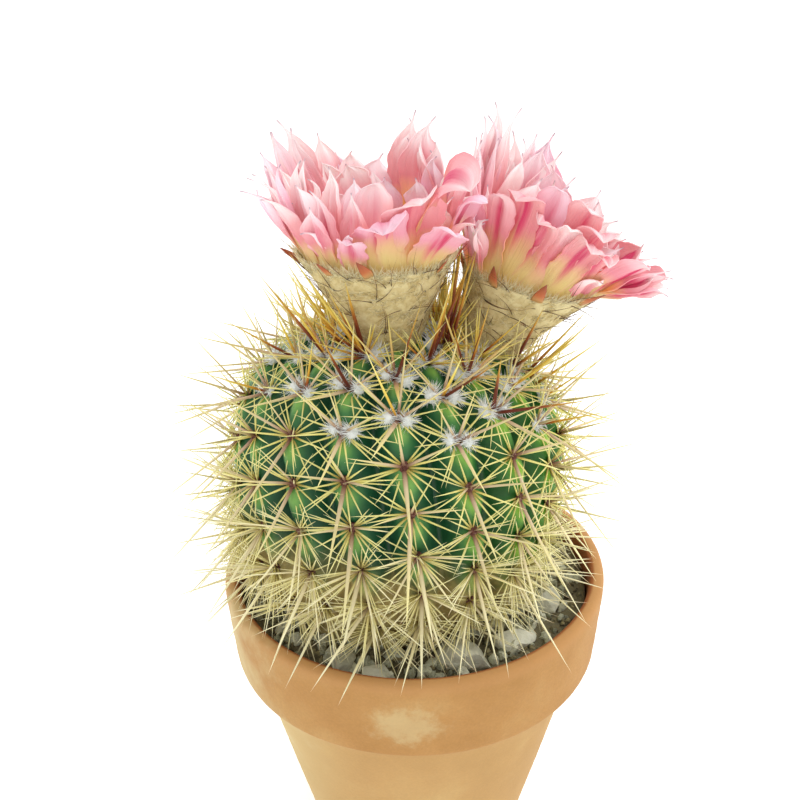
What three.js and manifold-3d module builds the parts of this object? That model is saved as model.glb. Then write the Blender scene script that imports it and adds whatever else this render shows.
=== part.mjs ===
// A round, ribbed cactus with two open flowers, in a thrown clay pot. Millimetres, +Z up.
// The origin is the centre of the pot's foot, and the pot's front is towards -Y.

import * as THREE from 'three';
import { mergeVertices } from 'three/addons/utils/BufferGeometryUtils.js';
import Module from 'manifold-3d';

const wasm = await Module();
wasm.setup();

// The gap that every piece keeps to the piece it stands in or on
const GAP = 0.35;

// The pot: a thick rim band over a tapered body, with a drain hole in its floor
const POT_HEIGHT = 94;
const RIM_RADIUS = 55;
const RIM_WALL = 4.3;
const BAND_HEIGHT = 25.4;
const BAND_FOOT_RADIUS = 53.2;
const BODY_TOP_RADIUS = 48.5;
const BODY_TAPER = 0.246;
const POT_WALL = 4.5;
const POT_FLOOR = 6;
const DRAIN_RADIUS = 6;
const POT_SIDES = 36;
const BAND_FOOT = POT_HEIGHT - BAND_HEIGHT;
const FOOT_RADIUS = BODY_TOP_RADIUS - BODY_TAPER * BAND_FOOT;
const INNER_RIM_RADIUS = RIM_RADIUS - RIM_WALL;
const SHOULDER_RISE = 5;

// The soil's level, how much higher it lies around the plant, and its room in the pot
const SOIL_LEVEL = 86;
const SOIL_RISE = 0.8;
const SOIL_ROOM = 0.5;

// The globe: its centre, the way its axis leans, and the two halves of its outline
const GLOBE_CENTRE = new THREE.Vector3(-3.3, 2.6, 134.5);
const GLOBE_AXIS = new THREE.Vector3(0.135, 0.17, 1).normalize();
const GLOBE_RADIUS = 44.5;
const CROWN_HEIGHT = 31.5;
const LOWER_HEIGHT = 54;
const LOWER_FULLNESS = 2.6;
const RIBS_END = -47;
const CROWN_DIP = 1;
const NECK = [[26, -52], [22, -58], [14, -66], [8, -74]];
const NECK_TIP = -77;
const HOLE_SIDES = 24;
const HOLE_HEIGHTS = [RIBS_END, -44, -41, -37];
const HOLE_ROOM = 0.6;

// Ribs and areoles: the ribs wind a little, and areoles on neighbouring ribs are staggered
const RIBS = 18;
const COLUMNS_PER_RIB = 4;
const RIB_DEPTH = 6;
const FIRST_RIB = -0.444;
const WIND_PER_MM = 0.006;
const WIND_LEVEL = 36;
const AREOLE_SPACING = 11.6;
const AREOLE_FIRST = 0.03;
const AREOLE_WAVE = 0.12;
const AREOLES_PER_RIB = 10;
const NOTCH_DEPTH = 1.9;
const CROWN_CLEAR = 14;

// Spines: true sizes, and fewer of them than on the plant
const SPINE_ROOT = 1.6;
const SPINE_SIDES = 3;
const SPINE_UNEVEN = 0.3;
const SPINE_LEAN = 0.5;
const SIDE_ANGLE = 1.25;
const SPINE_LIFTS = [0, 0.25, 0.5, 0.8];
const SIDE_SPINE = { length: 13, radius: 0.42, raise: 0.42 };
const MAIN_SPINE = { length: 22, radius: 0.55, raise: 0.66 };
const LOW_SPINE = { length: 26, radius: 0.6, raise: 0.66 };
const LOW_LEVEL = 66;
const CROWN_SPINE = { length: 24, radius: 0.55, raise: 0.95 };
const CROWN_LEVEL = 34;

// Blooms: the foot and the rim's centre of each woolly tube, and the way its petals open
const TUBE_FLOOR = 9;
const TUBE_SIDES = 20;
const SOCKET_POINTS = 6;
const BRISTLES = 24;
const BRISTLE = { length: 8, radius: 0.35, raise: 0.6 };
const RING_LOW = 6.2;
const RING_HIGH = 1.2;
const RING_WALL = 2.8;
const PETAL_LOW = 2.6;
const PETAL_HIGH = 0.8;
const PETAL_UNEVEN = 0.2;
const PETAL_THICKNESS = 0.8;
const PETAL_CUP = 0.2;
const PETAL_STEPS = 4;
const PETAL_CLOSINGS = [0, 0.12, 0.25, 0.4];
const STAMENS = 12;
const STAMEN_RING_WALL = 1.4;
const ANTHER_RADIUS = 0.8;
const FILAMENT_RADIUS = 0.4;
const STYLE_RISE = 4;
const STYLE_SIDES = 8;
const STIGMA_LOBES = 8;
const STIGMA_REACH = 3.6;
const BLOOMS = [
  {
    name: 'left',
    foot: new THREE.Vector3(-6, -3, 163.5),
    rim: new THREE.Vector3(-8.2, -5, 189),
    rimRadius: 19.3,
    rimFaces: new THREE.Vector3(0.02, 0.09, 1).normalize(),
    petalsFace: new THREE.Vector3(-0.14, 0.1, 1).normalize(),
    longSide: 1.7,
    rows: [
      { count: 9, length: 27, width: 12, inset: 1.1, spread: 0.5, curl: 0.45, turn: 0.1 },
      { count: 7, length: 29, width: 11.5, inset: 2.6, spread: 0.34, curl: 0.15, turn: 0.34 },
    ],
  },
  {
    name: 'right',
    foot: new THREE.Vector3(19, 5, 157),
    rim: new THREE.Vector3(31.3, 7, 177.3),
    rimRadius: 17.6,
    rimFaces: new THREE.Vector3(0.26, 0.12, 1).normalize(),
    petalsFace: new THREE.Vector3(0.82, 0.16, 1).normalize(),
    longSide: 2.4,
    rows: [
      { count: 9, length: 28, width: 11.5, inset: 1.1, spread: 0.56, curl: 0.3, turn: 0.2 },
      { count: 7, length: 29.6, width: 11, inset: 2.6, spread: 0.34, curl: 0.12, turn: 0.5 },
    ],
  },
];

// Stones that lie partly sunk in the soil: place, half width, and how far each is turned
const LARGE_STONES = [
  { x: 13.5, y: -36, size: 6.8, turn: 0.5 },
  { x: -20, y: -37, size: 5, turn: 1.9 },
  { x: -9.5, y: -42.5, size: 4.4, turn: 0.2 },
  { x: 27, y: -29, size: 5.2, turn: 2.6 },
  { x: 37, y: -13, size: 5.6, turn: 1.2 },
];
const SMALL_STONES = 12;
const SMALL_STONE_RING = 43.5;
const SMALL_STONE_SIZE = 3.1;
const STONE_BREADTH = 0.76;
const STONE_HEIGHT = 0.62;
const STONE_RISE = 0.2;
const GOLDEN_ANGLE = Math.PI * (3 - Math.sqrt(5));

// A number from 0 to 1 that is always the same for the same two whole numbers
function draw(index, salt) {
  const wave = Math.sin(index * 12.9898 + salt * 78.233) * 43758.5453;
  return wave - Math.floor(wave);
}

function smooth(low, high, value) {
  const share = Math.min(Math.max((value - low) / (high - low), 0), 1);
  return share * share * (3 - 2 * share);
}

// Solids and geometries

function weld(geometry) {
  geometry.deleteAttribute('normal');
  geometry.deleteAttribute('uv');
  const merged = mergeVertices(geometry, 1e-4);
  const index = merged.index.array;
  const kept = [];
  for (let i = 0; i < index.length; i += 3) {
    const [a, b, c] = [index[i], index[i + 1], index[i + 2]];
    if (a !== b && b !== c && c !== a) kept.push(a, b, c);
  }
  merged.setIndex(kept);
  return merged;
}

function solidOf(geometry) {
  const merged = weld(geometry);
  return new wasm.Manifold(new wasm.Mesh({
    numProp: 3,
    vertProperties: new Float32Array(merged.attributes.position.array),
    triVerts: new Uint32Array(merged.index.array),
  }));
}

function geometryOf(solid) {
  const mesh = solid.getMesh();
  const geometry = new THREE.BufferGeometry();
  geometry.setAttribute('position', new THREE.BufferAttribute(new Float32Array(mesh.vertProperties), 3));
  geometry.setIndex(new THREE.BufferAttribute(new Uint32Array(mesh.triVerts), 1));
  geometry.computeVertexNormals();
  return geometry;
}

function joined(solids) {
  return wasm.Manifold.union(solids);
}

// The largest of the loose bodies that a cut leaves
function mainBody(solid) {
  return solid.decompose().sort((a, b) => b.volume() - a.volume())[0];
}

function touches(solid, obstacles) {
  return obstacles.some((other) => !solid.intersect(other).isEmpty());
}

// A turned solid about +Z from [radius, height] points
function turned(points, sides) {
  const profile = points.map(([radius, height]) => new THREE.Vector2(radius, height));
  const geometry = new THREE.LatheGeometry(profile, sides);
  geometry.rotateX(Math.PI / 2);
  return geometry;
}

// A closed skin over rings that each have the same number of points, with a flat end on the first and last
function skin(rings) {
  const count = rings[0].length;
  const positions = rings.flat().flatMap((p) => [p.x, p.y, p.z]);
  const index = [];
  for (let row = 0; row + 1 < rings.length; row += 1) {
    for (let i = 0; i < count; i += 1) {
      const next = (i + 1) % count;
      const [a, b] = [row * count + i, row * count + next];
      const [c, d] = [a + count, b + count];
      index.push(a, d, b, a, c, d);
    }
  }
  const last = (rings.length - 1) * count;
  for (let i = 1; i + 1 < count; i += 1) {
    index.push(0, i, i + 1);
    index.push(last, last + i + 1, last + i);
  }
  const geometry = new THREE.BufferGeometry();
  geometry.setAttribute('position', new THREE.Float32BufferAttribute(positions, 3));
  geometry.setIndex(index);
  return geometry;
}

// A needle from its root to its tip, with a few flat sides
function needle(root, tip, radius, extra = 0) {
  const along = tip.clone().sub(root);
  const length = along.length() + extra;
  const geometry = new THREE.ConeGeometry(radius + extra, length, SPINE_SIDES);
  geometry.translate(0, length / 2, 0);
  const turn = new THREE.Quaternion().setFromUnitVectors(new THREE.Vector3(0, 1, 0), along.normalize());
  geometry.applyQuaternion(turn);
  geometry.translate(root.x, root.y, root.z);
  return solidOf(geometry);
}

// Pot

function makePot() {
  return turned([
    [DRAIN_RADIUS, 0],
    [FOOT_RADIUS - 0.6, 0],
    [FOOT_RADIUS, 1.2],
    [BODY_TOP_RADIUS, BAND_FOOT],
    [BAND_FOOT_RADIUS - 0.4, BAND_FOOT + 0.5],
    [BAND_FOOT_RADIUS, BAND_FOOT + 1.6],
    [RIM_RADIUS, POT_HEIGHT - 2.2],
    [RIM_RADIUS - 0.8, POT_HEIGHT - 0.5],
    [RIM_RADIUS - 2, POT_HEIGHT],
    [INNER_RIM_RADIUS + 0.9, POT_HEIGHT - 0.5],
    [INNER_RIM_RADIUS, POT_HEIGHT - 2],
    ...potInside(0),
    [DRAIN_RADIUS, POT_FLOOR],
    [DRAIN_RADIUS, 0],
  ], POT_SIDES);
}

// The pot's inside from the band down to the floor, or with some room the soil that fills it
function potInside(room) {
  return [
    [INNER_RIM_RADIUS - 0.8 - room, BAND_FOOT + SHOULDER_RISE],
    [BODY_TOP_RADIUS - POT_WALL - room, BAND_FOOT - 1],
    [FOOT_RADIUS - POT_WALL + BODY_TAPER * POT_FLOOR + 0.5 - room, POT_FLOOR + 2],
    [FOOT_RADIUS - POT_WALL - 1 - room, POT_FLOOR + room],
  ];
}

// Globe

// The outline of the rib crests as [radius, height, length along it], from the crown to where the ribs end
function crestOutline() {
  const steps = 200;
  const outline = [];
  for (let i = 0; i <= steps; i += 1) {
    const angle = (i / steps) * (Math.PI / 2);
    outline.push([GLOBE_RADIUS * Math.sin(angle), CROWN_HEIGHT * Math.cos(angle)]);
  }
  for (let i = 1; i <= steps; i += 1) {
    const height = (i / steps) * RIBS_END;
    const fall = (-height / LOWER_HEIGHT) ** LOWER_FULLNESS;
    outline.push([GLOBE_RADIUS * (1 - fall) ** (1 / LOWER_FULLNESS), height]);
  }
  let length = 0;
  outline[0].push(0);
  for (let i = 1; i < outline.length; i += 1) {
    length += Math.hypot(outline[i][0] - outline[i - 1][0], outline[i][1] - outline[i - 1][1]);
    outline[i].push(length);
  }
  return outline;
}

const CREST = crestOutline();
const CREST_LENGTH = CREST[CREST.length - 1][2];

// The crest's radius and height, and its outward slope, at a length along the outline
function crestAt(length) {
  let i = 1;
  while (i < CREST.length - 1 && CREST[i][2] < length) i += 1;
  const [low, high] = [CREST[i - 1], CREST[i]];
  const share = (length - low[2]) / (high[2] - low[2]);
  const slope = new THREE.Vector2(low[1] - high[1], high[0] - low[0]).normalize();
  return {
    radius: low[0] + share * (high[0] - low[0]),
    height: low[1] + share * (high[1] - low[1]),
    out: slope.x,
    up: slope.y,
  };
}

const GLOBE_RIGHT = new THREE.Vector3(1, 0, 0).addScaledVector(GLOBE_AXIS, -GLOBE_AXIS.x).normalize();
const GLOBE_BACK = new THREE.Vector3().crossVectors(GLOBE_AXIS, GLOBE_RIGHT);

// A point given by its radius, its angle from the front and its height along the leaning axis
function onGlobe(radius, angle, height) {
  return GLOBE_CENTRE.clone()
    .addScaledVector(GLOBE_RIGHT, radius * Math.sin(angle))
    .addScaledVector(GLOBE_BACK, -radius * Math.cos(angle))
    .addScaledVector(GLOBE_AXIS, height);
}

function ribAngle(rib, length) {
  return FIRST_RIB + (rib * 2 * Math.PI) / RIBS + WIND_PER_MM * (length - WIND_LEVEL);
}

// How far down its rib, in areole spacings, the first areole sits
function areoleShift(rib) {
  return AREOLE_FIRST + AREOLE_WAVE * Math.cos(((rib - 0.5) * Math.PI) / 3);
}

function ribDepth(length) {
  const { radius } = crestAt(length);
  const fade = smooth(4, 16, length) * (1 - smooth(CREST_LENGTH - 14, CREST_LENGTH, length));
  return RIB_DEPTH * (radius / GLOBE_RADIUS) * fade;
}

function makeGlobe() {
  const columns = RIBS * COLUMNS_PER_RIB;
  const ribRows = Math.round((2 * CREST_LENGTH) / AREOLE_SPACING);
  const rows = ribRows + NECK.length + 1;
  const geometry = new THREE.SphereGeometry(1, columns, rows);
  const { position, uv } = geometry.attributes;
  for (let i = 0; i < position.count; i += 1) {
    const row = Math.round((1 - uv.getY(i)) * rows);
    const column = Math.round(uv.getX(i) * columns) % columns;
    let point;
    if (row === 0) {
      point = onGlobe(0, 0, CROWN_HEIGHT - CROWN_DIP);
    } else if (row === rows) {
      point = onGlobe(0, 0, NECK_TIP);
    } else if (row > ribRows) {
      const [radius, height] = NECK[row - ribRows - 1];
      point = onGlobe(radius, ribAngle(column / COLUMNS_PER_RIB, CREST_LENGTH), height);
    } else {
      point = ribPoint(column, row, ribRows);
    }
    position.setXYZ(i, point.x, point.y, point.z);
  }
  return solidOf(geometry);
}

// A vertex of the ribbed skin: crests rise at each areole, and valleys run between the ribs
function ribPoint(column, row, ribRows) {
  const rib = Math.round(column / COLUMNS_PER_RIB);
  const across = (column % COLUMNS_PER_RIB) / COLUMNS_PER_RIB;
  const inside = smooth(0, 3, row) * (1 - smooth(ribRows - 2, ribRows, row));
  const length = (row / 2 + areoleShift(rib) * inside) * AREOLE_SPACING;
  const clamped = row === ribRows ? CREST_LENGTH : Math.min(length, CREST_LENGTH);
  const crest = crestAt(clamped);
  const valley = 1 - Math.abs(Math.cos(Math.PI * across));
  const atAreole = (row + rib) % 2 === 0;
  const onCrest = 1 - smooth(0, 0.5, Math.min(across, 1 - across));
  const notch = atAreole ? 0 : NOTCH_DEPTH * onCrest * inside * smooth(8, 24, clamped);
  const depth = ribDepth(clamped) * valley + notch;
  const angle = ribAngle(column / COLUMNS_PER_RIB, clamped);
  return onGlobe(crest.radius - depth * crest.out, angle, crest.height - depth * crest.up);
}

// Every areole: its place, and the directions out, down the rib and to the side
function areoles() {
  const found = [];
  for (let rib = 0; rib < RIBS; rib += 1) {
    for (let i = 1; i < AREOLES_PER_RIB; i += 1) {
      const length = (i + areoleShift(rib) + 0.5 * (rib % 2)) * AREOLE_SPACING;
      if (length < CROWN_CLEAR || length > CREST_LENGTH - 3) continue;
      const crest = crestAt(length);
      const angle = ribAngle(rib, length);
      const place = onGlobe(crest.radius, angle, crest.height);
      const out = onGlobe(crest.radius + crest.out, angle, crest.height + crest.up).sub(place);
      const down = onGlobe(crest.radius + crest.up, angle, crest.height - crest.out).sub(place);
      const side = new THREE.Vector3().crossVectors(down, out).normalize();
      found.push({ rib, i, length, place, out, down, side, index: rib * AREOLES_PER_RIB + i });
    }
  }
  return found;
}

// The spines of one areole as [angle from down, kind]
function spinePlan(areole) {
  const lean = SPINE_LEAN * (draw(areole.index, 1) - 0.5);
  if (areole.length < CROWN_LEVEL) {
    return [[Math.PI + lean, CROWN_SPINE], [lean, MAIN_SPINE], [Math.PI / 2 + lean, SIDE_SPINE]];
  }
  return [
    [lean, areole.length < LOW_LEVEL ? MAIN_SPINE : LOW_SPINE],
    [SIDE_ANGLE + lean, SIDE_SPINE],
    [-SIDE_ANGLE + lean, SIDE_SPINE],
  ];
}

function makeSpines(obstacles) {
  const spines = [];
  for (const areole of areoles()) {
    for (const [angle, kind] of spinePlan(areole)) {
      const spine = clearSpine(areole, angle, kind, obstacles);
      if (spine) spines.push(spine);
    }
  }
  return spines;
}

// A spine raised step by step until it is clear of every other piece
function clearSpine(areole, angle, kind, obstacles) {
  const uneven = 1 + SPINE_UNEVEN * (draw(areole.index, 2 + Math.round(angle * 4)) - 0.5);
  const length = kind.length * uneven;
  const root = areole.place.clone().addScaledVector(areole.out, -SPINE_ROOT);
  for (const lift of SPINE_LIFTS) {
    const raise = kind.raise + lift;
    const tip = areole.place.clone()
      .addScaledVector(areole.out, Math.sin(raise) * length)
      .addScaledVector(areole.down, Math.cos(raise) * Math.cos(angle) * length)
      .addScaledVector(areole.side, Math.cos(raise) * Math.sin(angle) * length);
    if (!touches(needle(root, tip, kind.radius, GAP), obstacles)) return needle(root, tip, kind.radius);
  }
  return null;
}

// Blooms

// A frame for one bloom: rings lie across the way its rim faces, and their centres run from foot to rim
function bloomFrame(bloom) {
  const axis = bloom.rim.clone().sub(bloom.foot);
  const height = axis.length();
  axis.normalize();
  const right = new THREE.Vector3(1, 0, 0).addScaledVector(bloom.rimFaces, -bloom.rimFaces.x).normalize();
  const back = new THREE.Vector3().crossVectors(bloom.rimFaces, right);
  const matrix = new THREE.Matrix4().makeBasis(right, back, axis).setPosition(bloom.foot);
  return { height, matrix };
}

// The tube's wall as [radius, height] points, outside from the foot up and inside from the rim down
function tubeWall(bloom, height) {
  const rim = bloom.rimRadius;
  const outside = [
    [0, -2.5],
    [rim * 0.26, -2.2],
    [rim * 0.44, 0.4],
    [rim * 0.53, height * 0.2],
    [rim * 0.66, height * 0.47],
    [rim * 0.84, height * 0.76],
    [rim, height - 0.4],
    [rim - 0.5, height],
  ];
  const inside = [
    [rim - 1.3, height - 0.6],
    [rim * 0.74, height * 0.7],
    [rim * 0.5, height * 0.45],
    [rim * 0.27, TUBE_FLOOR + 0.4],
    [0, TUBE_FLOOR],
  ];
  return { outside, inside };
}

// The radius of the tube's inside at a height
function insideRadius(wall, height) {
  for (let i = 1; i < wall.inside.length; i += 1) {
    const [high, low] = [wall.inside[i - 1], wall.inside[i]];
    if (height >= low[1]) return low[0] + ((height - low[1]) / (high[1] - low[1])) * (high[0] - low[0]);
  }
  return 0;
}

function bloomPoint(frame, radius, angle, height) {
  const point = new THREE.Vector3(radius * Math.cos(angle), radius * Math.sin(angle), height);
  return point.applyMatrix4(frame.matrix);
}

function makeTube(frame, wall) {
  const geometry = turned([...wall.outside, ...wall.inside], TUBE_SIDES);
  return solidOf(geometry.applyMatrix4(frame.matrix));
}

// Stiff bristles that stand out of the tube's wool, in a spiral from low to high
function makeBristles(frame, wall, obstacles) {
  const bristles = [];
  for (let i = 0; i < BRISTLES; i += 1) {
    const share = 0.3 + 0.62 * ((i + 0.5) / BRISTLES);
    const height = frame.height * share;
    const angle = i * GOLDEN_ANGLE;
    const radius = outsideRadius(wall, height);
    const root = bloomPoint(frame, radius - 0.8, angle, height - 0.4);
    const reach = BRISTLE.length * (0.8 + 0.4 * draw(i, 7));
    const [out, up] = [reach * Math.sin(BRISTLE.raise), reach * Math.cos(BRISTLE.raise)];
    const tip = bloomPoint(frame, radius + out, angle + 0.12, height + up);
    if (!touches(needle(root, tip, BRISTLE.radius, GAP), obstacles)) {
      bristles.push(needle(root, tip, BRISTLE.radius));
    }
  }
  return bristles;
}

function outsideRadius(wall, height) {
  for (let i = 1; i < wall.outside.length; i += 1) {
    const [low, high] = [wall.outside[i - 1], wall.outside[i]];
    if (height <= high[1]) return low[0] + ((height - low[1]) / (high[1] - low[1])) * (high[0] - low[0]);
  }
  return wall.outside[wall.outside.length - 1][0];
}

// A ring that lies against the tube's inside between two heights
function makeRing(frame, wall, low, high, thickness, sides) {
  const points = [
    [insideRadius(wall, low) - GAP - thickness, low],
    [insideRadius(wall, low) - GAP, low],
    [insideRadius(wall, high) - GAP, high],
    [insideRadius(wall, high) - GAP - thickness, high],
    [insideRadius(wall, low) - GAP - thickness, low],
  ];
  return solidOf(turned(points, sides).applyMatrix4(frame.matrix));
}

// One petal: it leaves the ring along the tube's wall, then opens outwards and narrows to a point
function makePetal(bloom, frame, wall, angle, row, extra = 0) {
  const low = frame.height - PETAL_LOW;
  const high = frame.height - PETAL_HIGH;
  const inset = GAP + row.inset;
  const start = bloomPoint(frame, insideRadius(wall, low) - inset, angle, low);
  const leave = bloomPoint(frame, insideRadius(wall, high) - inset - 0.4, angle, high);
  const along = leave.clone().sub(start).normalize();
  const away = bloomPoint(frame, 1, angle, 0).sub(bloomPoint(frame, 0, angle, 0));
  away.addScaledVector(bloom.petalsFace, -away.dot(bloom.petalsFace)).normalize();
  const across = new THREE.Vector3().crossVectors(bloom.petalsFace, away).normalize();
  const rings = [];
  const point = start.clone();
  for (let step = 0; step <= PETAL_STEPS; step += 1) {
    const share = step / PETAL_STEPS;
    const opening = row.spread + row.curl * share * share;
    const open = bloom.petalsFace.clone().multiplyScalar(Math.cos(opening));
    open.addScaledVector(away, Math.sin(opening));
    const way = along.clone().lerp(open, smooth(0.1, 0.45, share)).normalize();
    const outward = new THREE.Vector3().crossVectors(across, way).normalize().negate();
    rings.push(petalSection(point, across, outward, row.width, share, extra));
    const length = (row.length + leave.distanceTo(start)) / PETAL_STEPS;
    point.addScaledVector(way, length);
  }
  return solidOf(skin(rings));
}

// A cupped section across a petal: two faces of three points each
function petalSection(point, across, outward, width, share, extra) {
  const widening = 0.3 + 0.7 * Math.sin((share / 0.6) * (Math.PI / 2));
  const narrowing = 1 - 0.9 * (Math.max(share - 0.6, 0) / 0.4) ** 1.6;
  const half = (width / 2) * (share < 0.6 ? widening : narrowing) + extra;
  const cup = half * PETAL_CUP;
  const thick = PETAL_THICKNESS / 2 + extra;
  const corner = (x, y) => point.clone().addScaledVector(across, x).addScaledVector(outward, y);
  return [
    corner(-half, -cup + thick), corner(0, thick), corner(half, -cup + thick),
    corner(half, -cup - thick), corner(0, -thick), corner(-half, -cup - thick),
  ];
}

function makePetals(bloom, frame, wall, obstacles) {
  const high = frame.height - RING_HIGH;
  const solids = [makeRing(frame, wall, frame.height - RING_LOW, high, RING_WALL, TUBE_SIDES)];
  for (const row of bloom.rows) {
    for (let i = 0; i < row.count; i += 1) {
      const angle = ((i + row.turn) / row.count) * 2 * Math.PI;
      const petal = clearPetal(bloom, frame, wall, angle, row, obstacles);
      if (petal) solids.push(petal);
    }
  }
  return mainBody(joined(solids));
}

// A petal that is closed up step by step until it is clear of the other bloom
function clearPetal(bloom, frame, wall, angle, row, obstacles) {
  const uneven = 1 + PETAL_UNEVEN * Math.cos(angle - bloom.longSide);
  const length = row.length * uneven * (0.93 + 0.14 * draw(Math.round(angle * 50), 11));
  for (const close of PETAL_CLOSINGS) {
    const tried = {
      ...row, length, inset: row.inset + close, spread: row.spread - close, curl: row.curl * (1 - close),
    };
    if (!touches(makePetal(bloom, frame, wall, angle, tried, GAP / 2), obstacles)) {
      return makePetal(bloom, frame, wall, angle, tried);
    }
  }
  return null;
}

// A ring of stamens: filaments that widen into their anthers
function makeStamens(frame, wall) {
  const low = TUBE_FLOOR + 3.2;
  const high = frame.height * 0.66;
  const solids = [makeRing(frame, wall, low, high, STAMEN_RING_WALL, TUBE_SIDES / 2)];
  for (let i = 0; i < STAMENS; i += 1) {
    const angle = ((i + 0.5) / STAMENS) * 2 * Math.PI;
    const radius = insideRadius(wall, high) - GAP - 1.1;
    const root = bloomPoint(frame, radius, angle, high - 0.8);
    const lean = i % 2 ? 0.48 : 0.6;
    const top = bloomPoint(frame, radius * lean, angle + 0.1, frame.height + (i % 2 ? 1.5 : 4));
    solids.push(filament(root, top));
  }
  return joined(solids);
}

function filament(root, top) {
  const along = top.clone().sub(root);
  const geometry = new THREE.CylinderGeometry(ANTHER_RADIUS, FILAMENT_RADIUS, along.length(), 3);
  geometry.translate(0, along.length() / 2, 0);
  const turn = new THREE.Quaternion().setFromUnitVectors(new THREE.Vector3(0, 1, 0), along.normalize());
  geometry.applyQuaternion(turn);
  geometry.translate(root.x, root.y, root.z);
  return solidOf(geometry);
}

// The pistil: a style that stands on the tube's floor, with a star of stigma lobes
function makePistil(frame) {
  const foot = TUBE_FLOOR + 2 * GAP;
  const top = frame.height + STYLE_RISE;
  const style = turned([
    [0, foot], [2, foot], [1.2, foot + 2.5], [1.1, top - 3], [2, top - 1], [1.4, top], [0, top],
  ], STYLE_SIDES);
  const solids = [solidOf(style.applyMatrix4(frame.matrix))];
  for (let i = 0; i < STIGMA_LOBES; i += 1) {
    const angle = (i / STIGMA_LOBES) * 2 * Math.PI;
    const root = bloomPoint(frame, 0.4, angle, top - 1.6);
    solids.push(needle(root, bloomPoint(frame, STIGMA_REACH, angle, top + 2.4), 0.7));
  }
  return joined(solids);
}

// Soil and stones

function makeSoil(holes) {
  const soil = solidOf(turned([
    [0, POT_FLOOR + SOIL_ROOM],
    ...potInside(SOIL_ROOM).reverse(),
    [INNER_RIM_RADIUS - 2 * SOIL_ROOM, SOIL_LEVEL],
    [INNER_RIM_RADIUS - 12, SOIL_LEVEL + SOIL_RISE],
    [0, SOIL_LEVEL + SOIL_RISE],
  ], POT_SIDES));
  return mainBody(holes.reduce((left, hole) => left.subtract(hole), soil));
}

// The plain hole that the plant stands in, a little wider than the globe's crests and neck
function makeStemHole() {
  const around = Math.cos(Math.PI / HOLE_SIDES);
  const points = [[0, NECK_TIP - HOLE_ROOM]];
  for (const [radius, height] of [...NECK].reverse()) points.push([(radius + HOLE_ROOM) / around, height]);
  for (const height of HOLE_HEIGHTS) {
    const crest = CREST.find((entry) => entry[1] <= height) ?? CREST[CREST.length - 1];
    points.push([(crest[0] + HOLE_ROOM) / around, height]);
  }
  points.push([0, points[points.length - 1][1]]);
  const geometry = turned(points, HOLE_SIDES);
  const basis = new THREE.Matrix4().makeBasis(GLOBE_RIGHT, GLOBE_BACK, GLOBE_AXIS);
  return solidOf(geometry.applyMatrix4(basis.setPosition(GLOBE_CENTRE)));
}

// A broken stone, and with extra room the pit that it lies in
function makeStone(stone, index, extra = 0) {
  const geometry = new THREE.IcosahedronGeometry(1, stone.size > 4 ? 1 : 0);
  const { position } = geometry.attributes;
  const corner = new THREE.Vector3();
  for (let i = 0; i < position.count; i += 1) {
    corner.fromBufferAttribute(position, i);
    const key = Math.round(corner.x * 31) + Math.round(corner.y * 57) + Math.round(corner.z * 83);
    corner.multiplyScalar(0.84 + 0.3 * draw(key, index));
    corner.multiply(new THREE.Vector3(stone.size, stone.size * STONE_BREADTH, stone.size * STONE_HEIGHT));
    corner.setLength(corner.length() + extra);
    position.setXYZ(i, corner.x, corner.y, corner.z);
  }
  geometry.rotateZ(stone.turn);
  geometry.translate(stone.x, stone.y, SOIL_LEVEL + SOIL_RISE + stone.size * STONE_RISE);
  return solidOf(geometry);
}

function stonePlan() {
  const plan = [...LARGE_STONES];
  for (let i = 0; i < SMALL_STONES; i += 1) {
    const angle = i * GOLDEN_ANGLE + 0.4;
    const ring = SMALL_STONE_RING - 3 * draw(i, 21);
    plan.push({
      x: ring * Math.cos(angle),
      y: ring * Math.sin(angle),
      size: SMALL_STONE_SIZE * (0.8 + 0.4 * draw(i, 22)),
      turn: angle,
    });
  }
  return plan;
}

// Assembly

const plant = new THREE.Group();

function addNode(name, geometry, color, roughness) {
  const material = new THREE.MeshStandardMaterial({ color, roughness, metalness: 0 });
  const mesh = new THREE.Mesh(geometry, material);
  mesh.name = name;
  plant.add(mesh);
}

const pot = solidOf(makePot());
addNode('pot', geometryOf(pot), '#c69a62', 0.9);

const stemHole = makeStemHole();
const stones = [];
const pits = [];
stonePlan().forEach((stone, index) => {
  const pit = makeStone(stone, index, GAP);
  if (touches(pit, [pot, stemHole, ...pits])) return;
  pits.push(pit);
  stones.push(makeStone(stone, index));
});
stones.forEach((stone, index) => {
  const name = `stone_${String(index + 1).padStart(2, '0')}`;
  addNode(name, geometryOf(stone), '#b9b2a4', 0.85);
});
const soil = makeSoil([stemHole, ...pits]);
addNode('soil', geometryOf(soil), '#4a4038', 0.95);

const taken = [pot, soil, ...pits];
const sockets = [];
const blooms = BLOOMS.map((bloom) => {
  const frame = bloomFrame(bloom);
  const wall = tubeWall(bloom, frame.height);
  const tube = makeTube(frame, wall);
  return { ...bloom, frame, wall, tube };
});
for (const bloom of blooms) {
  const { frame, wall } = bloom;
  const others = blooms.filter((other) => other !== bloom).map((other) => other.tube);
  const petals = makePetals(bloom, frame, wall, [bloom.tube, ...others, ...sockets]);
  const bristles = makeBristles(frame, wall, [...others, ...sockets, petals]);
  const tube = joined([bloom.tube, ...bristles]);
  addNode(`${bloom.name}_tube`, geometryOf(tube), '#b9a571', 0.95);
  addNode(`${bloom.name}_petals`, geometryOf(petals), '#eeb0b4', 0.6);
  addNode(`${bloom.name}_stamens`, geometryOf(makeStamens(frame, wall)), '#e8c050', 0.7);
  addNode(`${bloom.name}_pistil`, geometryOf(makePistil(frame)), '#e6c98a', 0.6);
  sockets.push(tube, petals);
}

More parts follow.
